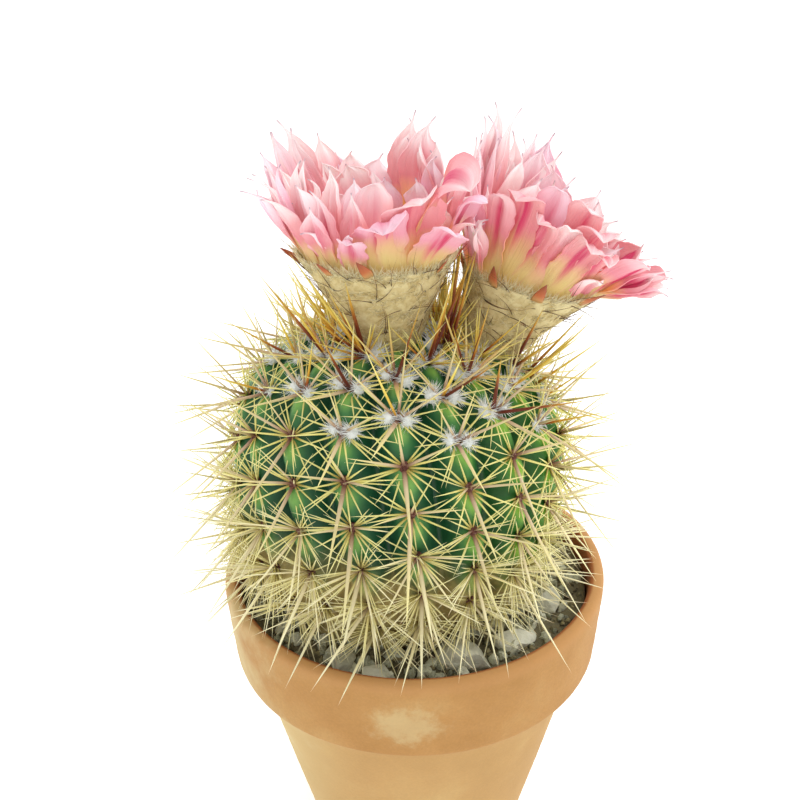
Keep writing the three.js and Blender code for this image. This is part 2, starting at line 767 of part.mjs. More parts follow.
// The globe's socket for each tube's foot follows the tube with a gap all round
function makeSocket(bloom) {
  const foot = bloom.wall.outside.slice(0, SOCKET_POINTS);
  const points = foot.map(([radius, height]) => [radius && radius + GAP, height - GAP]);
  points.push([0, points[points.length - 1][1]]);
  return solidOf(turned(points, TUBE_SIDES).applyMatrix4(bloom.frame.matrix));
}

const feet = blooms.map(makeSocket);
const globe = makeGlobe();
const spines = makeSpines([...taken, ...sockets]);
const body = feet.reduce((left, foot) => left.subtract(foot), joined([globe, ...spines]));
addNode('cactus_body', geometryOf(mainBody(body)), '#4f8a4a', 0.6);

export default plant;
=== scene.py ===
"""A round cactus in flower, in a clay pot: the looks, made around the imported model.

Sizes are in millimetres until a mesh is made, and then in metres. +Z is up, and the front is towards -Y.
"""

import math
import random

import bmesh
import bpy
import numpy as np
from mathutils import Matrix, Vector, noise


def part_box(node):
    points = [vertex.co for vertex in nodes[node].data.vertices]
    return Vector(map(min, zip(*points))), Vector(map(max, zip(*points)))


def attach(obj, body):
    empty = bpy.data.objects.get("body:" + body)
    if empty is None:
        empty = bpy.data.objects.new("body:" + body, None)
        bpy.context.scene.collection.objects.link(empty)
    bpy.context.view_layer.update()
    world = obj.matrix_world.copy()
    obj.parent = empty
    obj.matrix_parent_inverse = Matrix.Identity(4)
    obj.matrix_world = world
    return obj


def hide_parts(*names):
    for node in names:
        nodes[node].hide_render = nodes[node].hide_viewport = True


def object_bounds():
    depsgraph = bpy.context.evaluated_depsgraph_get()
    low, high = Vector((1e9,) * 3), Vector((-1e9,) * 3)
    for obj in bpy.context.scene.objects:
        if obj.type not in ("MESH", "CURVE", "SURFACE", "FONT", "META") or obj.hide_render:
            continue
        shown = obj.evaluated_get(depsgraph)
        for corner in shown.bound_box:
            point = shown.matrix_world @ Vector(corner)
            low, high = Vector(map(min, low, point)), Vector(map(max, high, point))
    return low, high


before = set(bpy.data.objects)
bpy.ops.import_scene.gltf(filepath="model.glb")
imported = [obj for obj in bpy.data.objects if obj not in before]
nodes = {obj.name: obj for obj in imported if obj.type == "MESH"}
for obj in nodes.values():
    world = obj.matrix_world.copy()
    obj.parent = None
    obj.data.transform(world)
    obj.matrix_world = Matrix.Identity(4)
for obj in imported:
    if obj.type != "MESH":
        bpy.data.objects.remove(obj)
cad_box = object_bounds()

# Pot
# Terracotta, thrown on a wheel and fired without a glaze: a thick rim band over a tapered body, with a
# drain hole. The potter's fingers left faint rings, and hard water has left pale salts on the outside.

MM = 0.001
POT_HEIGHT = 94
RIM_RADIUS = 55
RIM_WALL = 4.3
BAND_FOOT = 68.6
BAND_FOOT_RADIUS = 53.2
BODY_TOP_RADIUS = 48.5
FOOT_RADIUS = 31.6
POT_WALL = 4.5
POT_FLOOR = 6
DRAIN_RADIUS = 6
POT_SIDES = 168
WALL_STEP = 2.0
THROWING_RING = 3.7
THROWING_DEPTH = 0.07
HAND_UNEVEN = 0.22
GRIT_UNEVEN = 0.06
# The middle of the body's wall: its radius at the foot, and how much it widens for each millimetre up
WALL_MIDDLE = 24
WALL_WIDENS = 0.24
# Points on each rounded corner of the outline
CORNER_POINTS = 5


def linear(colour):
    """An sRGB hex colour as linear red, green, blue and alpha."""
    parts = [int(colour[i:i + 2], 16) / 255 for i in (1, 3, 5)]
    return [p / 12.92 if p <= 0.04045 else ((p + 0.055) / 1.055) ** 2.4 for p in parts] + [1.0]


def add(tree, kind, settings=None, inputs=None):
    """A new node with its settings, and with each open input linked or set; "stops" fills a colour ramp."""
    node = tree.nodes.new(kind)
    for name, value in (settings or {}).items():
        if name != "stops":
            setattr(node, name, value)
            continue
        elements = node.color_ramp.elements
        while len(elements) < len(value):
            elements.new(1.0)
        for element, (place, colour) in zip(elements, value):
            element.position = place
            element.color = linear(colour)
    for name, value in (inputs or {}).items():
        if isinstance(name, str):
            socket = next(s for s in node.inputs if s.name == name and s.enabled)
        else:
            socket = node.inputs[name]
        if isinstance(value, bpy.types.Node):
            value = next(s for s in value.outputs if s.enabled)
        if isinstance(value, bpy.types.NodeSocket):
            tree.links.new(value, socket)
        else:
            socket.default_value = value
    return node


def new_material(name, roughness, **constants):
    """A material with its shader; constants are the shader's own sockets, with _ for a space."""
    material = bpy.data.materials.new(name)
    material.use_nodes = True
    tree = material.node_tree
    shader = tree.nodes["Principled BSDF"]
    shader.inputs["Roughness"].default_value = roughness
    for key, value in constants.items():
        shader.inputs[key.replace("_", " ")].default_value = value
    return material, tree, shader


def piece_of(name, points, faces, attributes=None, smooth=True):
    """A mesh piece from points in millimetres, with one value for each point under each attribute's name."""
    mesh = bpy.data.meshes.new(name)
    mesh.from_pydata((np.asarray(points) * MM).tolist(), [], [tuple(face) for face in faces])
    for key, values in (attributes or {}).items():
        values = np.asarray(values, np.float32)
        kind = "FLOAT_VECTOR" if values.ndim == 2 else "FLOAT"
        layer = mesh.attributes.new(key, kind, "POINT")
        layer.data.foreach_set("vector" if values.ndim == 2 else "value", values.ravel())
    if len(faces) and smooth:
        mesh.polygons.foreach_set("use_smooth", [True] * len(mesh.polygons))
    mesh.update()
    piece = bpy.data.objects.new(name, mesh)
    bpy.context.scene.collection.objects.link(piece)
    return piece


def finish_piece(piece, material, slot, *replaced):
    """Gives a finished piece its material and its place in the object."""
    if material is not None:
        piece.data.materials.clear()
        piece.data.materials.append(material)
    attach(piece, "root")
    if replaced:
        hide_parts(*replaced)


def rounded(corners, step):
    """An outline through (radius, height, cut) corners, each rounded over its cut."""
    outline = []
    corners = [np.array(corner, float) for corner in corners]
    for i, corner in enumerate(corners):
        here, cut = corner[:2], corner[2]
        before = corners[i - 1][:2]
        after = corners[(i + 1) % len(corners)][:2]
        start = here + (before - here) / np.linalg.norm(before - here) * cut
        end = here + (after - here) / np.linalg.norm(after - here) * cut
        if outline:
            last = outline[-1]
            steps = max(int(np.linalg.norm(start - last) / step), 1)
            outline += [last + (start - last) * k / steps for k in range(1, steps)]
        for share in np.linspace(0, 1, CORNER_POINTS):
            outline.append((1 - share) ** 2 * start + 2 * share * (1 - share) * here + share ** 2 * end)
    return np.array(outline)


def grid_faces(rows, columns, around=True, closed=False):
    """Four-sided faces over rows of points.

    around joins the ends of each row, and closed joins the last row to the first.
    """
    faces = []
    for row in range(rows if closed else rows - 1):
        low, high = row * columns, (row + 1) % rows * columns
        for i in range(columns if around else columns - 1):
            j = (i + 1) % columns
            faces.append((low + i, low + j, high + j, high + i))
    return faces


pot_outline = rounded([
    (DRAIN_RADIUS, 0, 0.6),
    (FOOT_RADIUS, 0, 1.0),
    (BODY_TOP_RADIUS, BAND_FOOT, 0.5),
    (BAND_FOOT_RADIUS - 0.2, BAND_FOOT + 0.5, 1.1),
    (RIM_RADIUS, POT_HEIGHT, 2.4),
    (RIM_RADIUS - RIM_WALL, POT_HEIGHT, 1.6),
    (RIM_RADIUS - RIM_WALL - 0.8, BAND_FOOT + 5, 2.5),
    (BODY_TOP_RADIUS - POT_WALL, BAND_FOOT - 1, 2.5),
    (FOOT_RADIUS - POT_WALL + 2, POT_FLOOR + 2, 2),
    (FOOT_RADIUS - POT_WALL - 1, POT_FLOOR, 1),
    (DRAIN_RADIUS, POT_FLOOR, 0.5),
], WALL_STEP)

# Chips in the rim: angle, size and depth
RIM_CHIPS = [(-2.52, 3.2, 0.8), (-2.35, 2.2, 0.6), (-2.80, 2.4, 0.6), (-0.62, 1.8, 0.5), (1.9, 2.6, 0.7)]


def pot_points():
    """The thrown wall: rings from the fingers, a slight unevenness by hand, and small chips in the rim."""
    points, inner = [], []
    for radius, height in pot_outline:
        outside = radius > RIM_RADIUS - RIM_WALL + 1
        outside = outside or height < BAND_FOOT and radius > WALL_MIDDLE + height * WALL_WIDENS
        for i in range(POT_SIDES):
            angle = 2 * math.pi * i / POT_SIDES
            place = Vector((math.cos(angle) * radius, math.sin(angle) * radius, height))
            ring = math.sin(2 * math.pi * height / THROWING_RING + 0.7 * math.sin(angle + 1))
            moved = THROWING_DEPTH * ring + HAND_UNEVEN * noise.noise(place * 0.035)
            moved += GRIT_UNEVEN * noise.noise(place * 0.5)
            for chip_angle, size, depth in RIM_CHIPS:
                edge = Vector((math.cos(chip_angle), math.sin(chip_angle), 0)) * RIM_RADIUS
                edge.z = POT_HEIGHT - 1
                near = max(0.0, 1 - (place - edge).length / size)
                moved -= depth * near * (1 + 0.5 * noise.noise(place * 1.3))
            scale = 1 + moved / max(radius, 20)
            if height < 0.5 or radius < DRAIN_RADIUS + 1:
                scale = 1
            points.append((place.x * scale, place.y * scale, place.z))
            inner.append(0.0 if outside else 1.0)
    return points, inner


# How wide the clay's patterns are: clouds from the firing, grit, and dried salts with their ragged edge
FIRING_CLOUDS = 26.316
CLAY_GRIT = 0.7143
CLAY_GRIT_DEPTH = 0.3
SALT_SPREAD = 18.182
SALT_RAGS = 3.846
# The patch that hard water left on the band's front: its middle, and its half size each way
SALT_PATCH = (-2.5, -54.0, 80.5)
SALT_HALF_SIZE = (11.5, 30.0, 8.2)
# Heights, and places from left to right, between which one tone of the clay turns into the next
WORN_RIM = (89.5, 93.5)
BAND_TO_BODY = (66, 69)
LEFT_SALTS = (-52, -20)
LEFT_DUST = (-48, -12)


def pattern_scale(size):
    """A noise's scale on Object coordinates, for spots that are size millimetres across."""
    return 1 / (size * MM)


def span_of(low, high):
    """A Map Range node's span of places, from millimetres."""
    return {"From Min": low * MM, "From Max": high * MM}


# Fired clay gives a matt, slightly grainy ochre, more orange on the worn rim, darker on its inside faces,
# and pale where salts dried on it.
terracotta, tree, shader = new_material("unglazed_terracotta", 0.82)
coordinates = add(tree, "ShaderNodeTexCoord").outputs["Object"]
cloud = add(tree, "ShaderNodeTexNoise", {},
            {"Vector": coordinates, "Scale": pattern_scale(FIRING_CLOUDS), "Detail": 4, "Roughness": 0.55})
clay = add(tree, "ShaderNodeValToRGB", {"stops": [(0.3, "#ac7d42"), (0.5, "#b6874c"), (0.72, "#c0985e")]},
           {"Fac": cloud.outputs["Fac"]})
grain = add(tree, "ShaderNodeTexNoise", {},
            {"Vector": coordinates, "Scale": pattern_scale(CLAY_GRIT), "Detail": 3, "Roughness": 0.7})
speck = add(tree, "ShaderNodeMapRange", {},
            {"Value": grain.outputs["Fac"], "From Min": 0.35, "From Max": 0.7,
             "To Min": 0.93, "To Max": 1.05})
grained = add(tree, "ShaderNodeMix", {"data_type": "RGBA", "blend_type": "MULTIPLY"},
              {"Factor": 1.0, "A": clay, "B": speck.outputs["Result"]})
axes = add(tree, "ShaderNodeSeparateXYZ", {}, {"Vector": coordinates})
rim_share = add(tree, "ShaderNodeMapRange", {"interpolation_type": "SMOOTHSTEP"},
                {"Value": axes.outputs["Z"], **span_of(*WORN_RIM), "To Max": 0.6})
rimmed = add(tree, "ShaderNodeMix", {"data_type": "RGBA"},
             {"Factor": rim_share.outputs["Result"], "A": grained, "B": linear("#bc8a54")})
patch_place = add(tree, "ShaderNodeMapping", {"vector_type": "TEXTURE"},
                  {"Vector": coordinates, "Location": [v * MM for v in SALT_PATCH],
                   "Scale": [v * MM for v in SALT_HALF_SIZE]})
patch_reach = add(tree, "ShaderNodeVectorMath", {"operation": "LENGTH"}, {"Vector": patch_place})
ragged = add(tree, "ShaderNodeTexNoise", {},
             {"Vector": coordinates, "Scale": pattern_scale(SALT_RAGS), "Detail": 5, "Roughness": 0.7})
patch_edge = add(tree, "ShaderNodeMath", {"operation": "MULTIPLY_ADD"},
                 {0: ragged.outputs["Fac"], 1: 1.5, 2: patch_reach.outputs["Value"]})
patch = add(tree, "ShaderNodeMapRange", {"interpolation_type": "SMOOTHSTEP"},
            {"Value": patch_edge, "From Min": 1.1, "From Max": 1.75, "To Min": 0.42, "To Max": 0.0})
salt_noise = add(tree, "ShaderNodeTexNoise", {},
                 {"Vector": coordinates, "Scale": pattern_scale(SALT_SPREAD), "Detail": 6, "Roughness": 0.65})
left_side = add(tree, "ShaderNodeMapRange", {"interpolation_type": "SMOOTHSTEP"},
                {"Value": axes.outputs["X"], **span_of(*LEFT_SALTS), "To Min": 0.3, "To Max": -0.1})
salt_sum = add(tree, "ShaderNodeMath", {"operation": "ADD"}, {0: salt_noise.outputs["Fac"], 1: left_side})
salt = add(tree, "ShaderNodeMapRange", {"interpolation_type": "SMOOTHSTEP"},
           {"Value": salt_sum, "From Min": 0.52, "From Max": 0.95, "To Min": 0.0, "To Max": 0.7})
salted = add(tree, "ShaderNodeMath", {"operation": "MAXIMUM"}, {0: salt, 1: patch})
left_share = add(tree, "ShaderNodeMapRange", {"interpolation_type": "SMOOTHSTEP"},
                 {"Value": axes.outputs["X"], **span_of(*LEFT_DUST), "To Min": 0.85, "To Max": 0.22})
body_share = add(tree, "ShaderNodeMapRange", {"interpolation_type": "SMOOTHSTEP"},
                 {"Value": axes.outputs["Z"], **span_of(*BAND_TO_BODY), "To Min": left_share, "To Max": 0.0})
bodied = add(tree, "ShaderNodeMix", {"data_type": "RGBA"},
             {"Factor": body_share, "A": rimmed, "B": linear("#d2bc84")})
pale = add(tree, "ShaderNodeMix", {"data_type": "RGBA"},
           {"Factor": salted, "A": bodied, "B": linear("#d0c090")})
inside = add(tree, "ShaderNodeAttribute", {"attribute_name": "inner"})
# The clay is darker on the inside faces
darker_inside = add(tree, "ShaderNodeMix", {"data_type": "RGBA", "blend_type": "MULTIPLY"},
           {"Factor": inside.outputs["Fac"], "A": pale, "B": linear("#d3a584")})
tree.links.new(darker_inside.outputs[2], shader.inputs["Base Color"])
clay_roughness = add(tree, "ShaderNodeMapRange", {},
                     {"Value": ragged.outputs["Fac"], "To Min": 0.74, "To Max": 0.95})
tree.links.new(clay_roughness.outputs["Result"], shader.inputs["Roughness"])
bump = add(tree, "ShaderNodeBump", {},
           {"Height": grain.outputs["Fac"], "Strength": 0.22, "Distance": CLAY_GRIT_DEPTH * MM})
tree.links.new(bump.outputs["Normal"], shader.inputs["Normal"])

points, inner = pot_points()
pot = piece_of("clay_pot", points, grid_faces(len(pot_outline), POT_SIDES, closed=True), {"inner": inner})
finish_piece(pot, terracotta, "terracotta", "pot")

# Soil and gravel
# Potting mix pressed in round the roots, with broken grey and black gravel strewn over it. The crumbs and
# the gravel are scattered over the mix at random, lying as they fell.

SOIL_LEVEL = 86
SOIL_RISE = 0.8
SOIL_RADIUS = 49.7
SOIL_ROWS = 46
SOIL_SIDES = 120
SOIL_LUMPS = 0.9
SOIL_CRUMBLE = 0.5
RING_SIDES = 48
GROUND_GRAIN_DEPTH = 0.4


def soil_points():
    """The mix's lumpy top, out to the pot, with its hidden side and underside."""
    points = []
    for row in range(SOIL_ROWS):
        radius = SOIL_RADIUS * (row + 0.02) / (SOIL_ROWS - 1)
        for i in range(SOIL_SIDES):
            angle = 2 * math.pi * i / SOIL_SIDES
            place = Vector((radius * math.cos(angle), radius * math.sin(angle), 0))
            lump = SOIL_LUMPS * noise.noise(place * 0.16) + SOIL_CRUMBLE * noise.noise(place * 0.6)
            points.append((place.x, place.y, SOIL_LEVEL + SOIL_RISE + lump * min(1.0, 0.3 + radius / 30)))
    for radius, height in [(SOIL_RADIUS, BAND_FOOT + 5), (BODY_TOP_RADIUS - POT_WALL - 0.5, BAND_FOOT - 1),
                           (FOOT_RADIUS - POT_WALL + 1.5, POT_FLOOR + 2), (0.02, POT_FLOOR + 0.5)]:
        for i in range(SOIL_SIDES):
            angle = 2 * math.pi * i / SOIL_SIDES
            points.append((radius * math.cos(angle), radius * math.sin(angle), height))
    return points


def turned_faces(rows, columns, inward=False):
    """Faces over rows of points that run round an axis, with both ends closed; inward turns them all over."""
    faces = grid_faces(rows, columns)
    faces += [tuple(reversed(range(columns))), tuple((rows - 1) * columns + i for i in range(columns))]
    return [face[::-1] for face in faces] if inward else faces


def new_tree(name, sockets):
    """A Geometry Nodes tree with the named inputs: the tree, its given values and its output node."""
    tree = bpy.data.node_groups.new(name, "GeometryNodeTree")
    tree.interface.new_socket(name="Geometry", in_out="INPUT", socket_type="NodeSocketGeometry")
    for socket, kind in sockets.items():
        tree.interface.new_socket(name=socket, in_out="INPUT", socket_type="NodeSocket" + kind)
    tree.interface.new_socket(name="Geometry", in_out="OUTPUT", socket_type="NodeSocketGeometry")
    return tree, add(tree, "NodeGroupInput").outputs, add(tree, "NodeGroupOutput")


def grown(name, source, tree, values):
    """The plain mesh piece that a tree makes of its source, which is then removed."""
    modifier = source.modifiers.new("grow", "NODES")
    modifier.node_group = tree
    for item in tree.interface.items_tree:
        if item.in_out == "INPUT" and item.name in values:
            modifier[item.identifier] = values[item.name]
    depsgraph = bpy.context.evaluated_depsgraph_get()
    mesh = bpy.data.meshes.new_from_object(source.evaluated_get(depsgraph), depsgraph=depsgraph)
    mesh.name = name
    bpy.data.objects.remove(source)
    piece = bpy.data.objects.new(name, mesh)
    bpy.context.scene.collection.objects.link(piece)
    return piece


# Broken lumps of random size, turned at random, over a surface
strewn, given, output = new_tree("strewn_lumps", {
    "Density": "Float", "Seed": "Int", "Smallest": "Float", "Largest": "Float", "Jagged": "Float",
    "Cuts": "Int", "Material": "Material",
})
lump = add(strewn, "GeometryNodeMeshIcoSphere", {}, {"Radius": 1.0, "Subdivisions": given["Cuts"]})
lump_noise = add(strewn, "ShaderNodeTexNoise", {}, {"Scale": 1.3, "Detail": 2})
from_middle = add(strewn, "ShaderNodeMath", {"operation": "SUBTRACT"}, {0: lump_noise.outputs["Fac"], 1: 0.5})
jag = add(strewn, "ShaderNodeMath", {"operation": "MULTIPLY"}, {0: from_middle, 1: given["Jagged"]})
jag_way = add(strewn, "ShaderNodeVectorMath", {"operation": "SCALE"},
              {"Vector": add(strewn, "GeometryNodeInputPosition"), "Scale": jag})
broken = add(strewn, "GeometryNodeSetPosition", {}, {"Geometry": lump.outputs[0], "Offset": jag_way})
spots = add(strewn, "GeometryNodeDistributePointsOnFaces", {},
            {"Mesh": given["Geometry"], "Density": given["Density"], "Seed": given["Seed"]})
turn = add(strewn, "FunctionNodeRandomValue", {"data_type": "FLOAT_VECTOR"},
           {"Max": (6.28, 6.28, 6.28), "Seed": given["Seed"]})
size = add(strewn, "FunctionNodeRandomValue", {"data_type": "FLOAT"},
           {"Min": given["Smallest"], "Max": given["Largest"], "Seed": given["Seed"]})
stretch = add(strewn, "FunctionNodeRandomValue", {"data_type": "FLOAT_VECTOR"},
              {"Min": (0.7, 0.6, 0.5), "Max": (1.3, 1.0, 0.8), "Seed": given["Seed"]})
sized = add(strewn, "ShaderNodeVectorMath", {"operation": "SCALE"}, {"Vector": stretch, "Scale": size})
laid = add(strewn, "GeometryNodeInstanceOnPoints", {},
           {"Points": spots.outputs["Points"], "Instance": broken, "Rotation": turn, "Scale": sized})
tone = add(strewn, "FunctionNodeRandomValue", {"data_type": "FLOAT"}, {"Seed": given["Seed"]})
toned = add(strewn, "GeometryNodeStoreNamedAttribute", {"data_type": "FLOAT", "domain": "INSTANCE"},
            {"Geometry": laid, "Name": "tone", "Value": tone})
real = add(strewn, "GeometryNodeRealizeInstances", {}, {"Geometry": toned})
coated = add(strewn, "GeometryNodeSetMaterial", {}, {"Geometry": real, "Material": given["Material"]})
strewn.links.new(coated.outputs[0], output.inputs[0])


def ground_material(name, stops, roughness, grain_size):
    """A rough mineral or peaty finish: one ramp of tones over the lumps, broken up by a fine grain."""
    material, tree, shader = new_material(name, roughness)
    coordinates = add(tree, "ShaderNodeTexCoord").outputs["Object"]
    tone = add(tree, "ShaderNodeAttribute", {"attribute_name": "tone"})
    grain = add(tree, "ShaderNodeTexNoise", {},
                {"Vector": coordinates, "Scale": pattern_scale(grain_size), "Detail": 4, "Roughness": 0.7})
    mixed = add(tree, "ShaderNodeMath", {"operation": "MULTIPLY_ADD"},
                {0: grain.outputs["Fac"], 1: 0.9, 2: tone.outputs["Fac"]})
    half = add(tree, "ShaderNodeMath", {"operation": "MULTIPLY"}, {0: mixed, 1: 0.55})
    colour = add(tree, "ShaderNodeValToRGB", {"stops": stops}, {"Fac": half})
    tree.links.new(colour.outputs["Color"], shader.inputs["Base Color"])
    bump = add(tree, "ShaderNodeBump", {},
               {"Height": grain.outputs["Fac"], "Strength": 0.5, "Distance": GROUND_GRAIN_DEPTH * MM})
    tree.links.new(bump.outputs["Normal"], shader.inputs["Normal"])
    return material


# Peat and bark dust: dark brown while damp, and a dull grey-brown where it has dried
potting_mix = ground_material(
    "potting_mix", [(0.2, "#423f2e"), (0.5, "#696248"), (0.8, "#978e69")], 0.95, 0.9)
# Crushed basalt and slate: matt mid grey, with pale dust on its faces
basalt = ground_material(
    "crushed_basalt", [(0.15, "#54574a"), (0.5, "#989a80"), (0.85, "#dfe0c6")], 0.85, 0.6)

points = soil_points()
soil = piece_of("potting_mix_fill", points, turned_faces(SOIL_ROWS + 4, SOIL_SIDES, inward=True),
                {"tone": [0.4] * len(points)})
finish_piece(soil, potting_mix, "potting_soil", "soil")


def soil_ring(name, low, high):
    """A flat ring over the soil, from which lumps are strewn."""
    turns = [2 * math.pi * i / RING_SIDES for i in range(RING_SIDES)]
    points = [(radius * math.cos(turn), radius * math.sin(turn), SOIL_LEVEL + SOIL_RISE + 0.2)
              for radius in (low, high) for turn in turns]
    return piece_of(name, points, grid_faces(2, RING_SIDES))


crumbs = grown("mix_crumbs", soil_ring("crumb_ring", 22, 48.6), strewn, {
    "Density": 240000.0, "Seed": 4, "Smallest": 0.35 * MM, "Largest": 1.05 * MM, "Jagged": 1.2,
    "Cuts": 1, "Material": potting_mix,
})
finish_piece(crumbs, None, "potting_soil")
gravel = grown("loose_gravel", soil_ring("gravel_ring", 26, 47.6), strewn, {
    "Density": 90000.0, "Seed": 9, "Smallest": 0.7 * MM, "Largest": 2.6 * MM, "Jagged": 1.7,
    "Cuts": 2, "Material": basalt,
})
finish_piece(gravel, None, "stones")

# Stones
# Broken pieces of pale pumice and limestone, laid on the soil by hand and half sunk in it. Each one has
# its own flats and hollows, worn at the edges.

# Porous pale stone: matt, dusty, with small pits and grey veils
pumice = ground_material(
    "pale_pumice", [(0.2, "#9d9c88"), (0.5, "#cacab4"), (0.85, "#e8e8d6")], 0.9, 1.5)
STONE_FLATS = 16
# How far out a flat may lie, and a stone's size before it is cut, both as shares of half its solid
FLAT_REACH = (0.52, 0.86)
UNCUT_SIZE = 1.2


def stone_piece(node, index):
    """A stone as broken: a fine ball cut by random flats, with a pitted skin, in the solid's place."""
    low, high = (Vector(corner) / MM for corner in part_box(node))
    middle, half = (low + high) / 2, (high - low) / 2
    chance = random.Random(index * 7 + 1)
    flats = []
    for _ in range(STONE_FLATS):
        way = Vector([chance.gauss(0, 1) for _ in range(3)]).normalized()
        flats.append((way, chance.uniform(*FLAT_REACH)))
    ball = bmesh.new()
    bmesh.ops.create_icosphere(ball, subdivisions=4, radius=1.0)
    points = []
    for vertex in ball.verts:
        place = vertex.co.copy()
        for way, reach in flats:
            place -= way * max(place.dot(way) - reach, 0) * 0.96
        place *= 1 + 0.04 * noise.noise(place * 4 + middle) + 0.02 * noise.noise(place * 11 + middle)
        points.append(middle + Vector([place[i] * half[i] * UNCUT_SIZE for i in range(3)]))
    faces = [tuple(v.index for v in face.verts) for face in ball.faces]
    ball.free()
    tone = [chance.uniform(0.2, 0.8)] * len(points)
    piece = piece_of("pale_" + node, points, faces, {"tone": tone}, smooth=False)
    finish_piece(piece, pumice, "stones", node)


for index, node in enumerate(sorted(name for name in nodes if name.startswith("stone_"))):
    stone_piece(node, index)

# Plant body
# One grown, water-filled globe with eighteen ribs that wind a little. Each rib swells into a chin under every
# areole. The skin is waxy and corky at the foot. Its green has painted highlights on the crests and chins,
# painted shade in the valleys and notches, and painted light that makes its right side yellower.

GLOBE_CENTRE = np.array([-3.3, 2.6, 134.5])
GLOBE_LEAN = (0.135, 0.17, 1)
GLOBE_AXIS = np.array(GLOBE_LEAN) / np.linalg.norm(GLOBE_LEAN)
GLOBE_RADIUS = 44.5
CROWN_HEIGHT = 31.5
LOWER_HEIGHT = 54
LOWER_FULLNESS = 2.6
RIBS_END = -47
NECK = [(26, -52), (22, -58), (14, -66), (8, -74), (0.5, -77)]
RIBS = 18
RIB_DEPTH = 6.8
FIRST_RIB = -0.444
WIND_PER_MM = 0.006
WIND_LEVEL = 36
AREOLE_SPACING = 11.6
AREOLES_PER_RIB = 10
FIRST_AREOLE = 5
AREOLE_START = 0.03
AREOLE_WAVE = 0.12
COLUMNS_PER_RIB = 14
ROW_STEP = 0.95
# Swellings and notches in millimetres, and their reach as a share of the way to the next rib or areole
CHIN = 1.0
CHIN_REACH = 0.24
NOTCH = 0.9
NOTCH_REACH = 0.34
NOTCH_PLACE = 0.93
NOTCH_LENGTH = 0.09
FLANK = 0.55

GLOBE_RIGHT = np.array([1, 0, 0]) - GLOBE_AXIS * GLOBE_AXIS[0]
GLOBE_RIGHT /= np.linalg.norm(GLOBE_RIGHT)
GLOBE_BACK = np.cross(GLOBE_AXIS, GLOBE_RIGHT)


def crest_table():
    """The rib crests' outline: length along it, radius and height."""
    angles = np.linspace(0, math.pi / 2, 201)
    heights = np.linspace(0, RIBS_END, 201)[1:]
    radius = np.concatenate([
        GLOBE_RADIUS * np.sin(angles),
        GLOBE_RADIUS * (1 - (-heights / LOWER_HEIGHT) ** LOWER_FULLNESS) ** (1 / LOWER_FULLNESS),
    ])
    height = np.concatenate([CROWN_HEIGHT * np.cos(angles), heights])
    length = np.concatenate([[0], np.cumsum(np.hypot(np.diff(radius), np.diff(height)))])
    return length, radius, height


CREST = crest_table()
CREST_LENGTH = CREST[0][-1]


def crest_at(length):
    """The crest's radius and height at a length along it, and its outward slope."""
    radius, height = np.interp(length, CREST[0], CREST[1]), np.interp(length, CREST[0], CREST[2])
    ahead = np.interp(length + 0.3, CREST[0], CREST[1]) - np.interp(length - 0.3, CREST[0], CREST[1])
    fall = np.interp(length - 0.3, CREST[0], CREST[2]) - np.interp(length + 0.3, CREST[0], CREST[2])
    size = np.hypot(ahead, fall)
    return radius, height, fall / size, ahead / size


def on_globe(radius, angle, height):
    """Points at a radius, an angle from the front and a height along the leaning axis."""
    radius, angle, height = np.broadcast_arrays(radius, angle, height)
    return (GLOBE_CENTRE + GLOBE_RIGHT * (radius * np.sin(angle))[..., None]
            - GLOBE_BACK * (radius * np.cos(angle))[..., None] + GLOBE_AXIS * height[..., None])


def rib_angle(rib, length):
    """The angle of a rib at a length down its crest; the ribs wind a little."""
    return FIRST_RIB + rib * 2 * math.pi / RIBS + WIND_PER_MM * (length - WIND_LEVEL)


def areole_shift(rib):
    """How far down its rib, in areole spacings, the first areole sits."""
    return AREOLE_START + AREOLE_WAVE * np.cos((rib - 0.5) * math.pi / 3)


def smooth(low, high, value):
    """An S-shaped step from 0 to 1 between two values."""
    share = np.clip((np.asarray(value, float) - low) / (high - low), 0, 1)
    return share * share * (3 - 2 * share)


def unit(vector):
    """A vector made 1 long."""
    vector = np.array(vector, float)
    return vector / np.linalg.norm(vector)


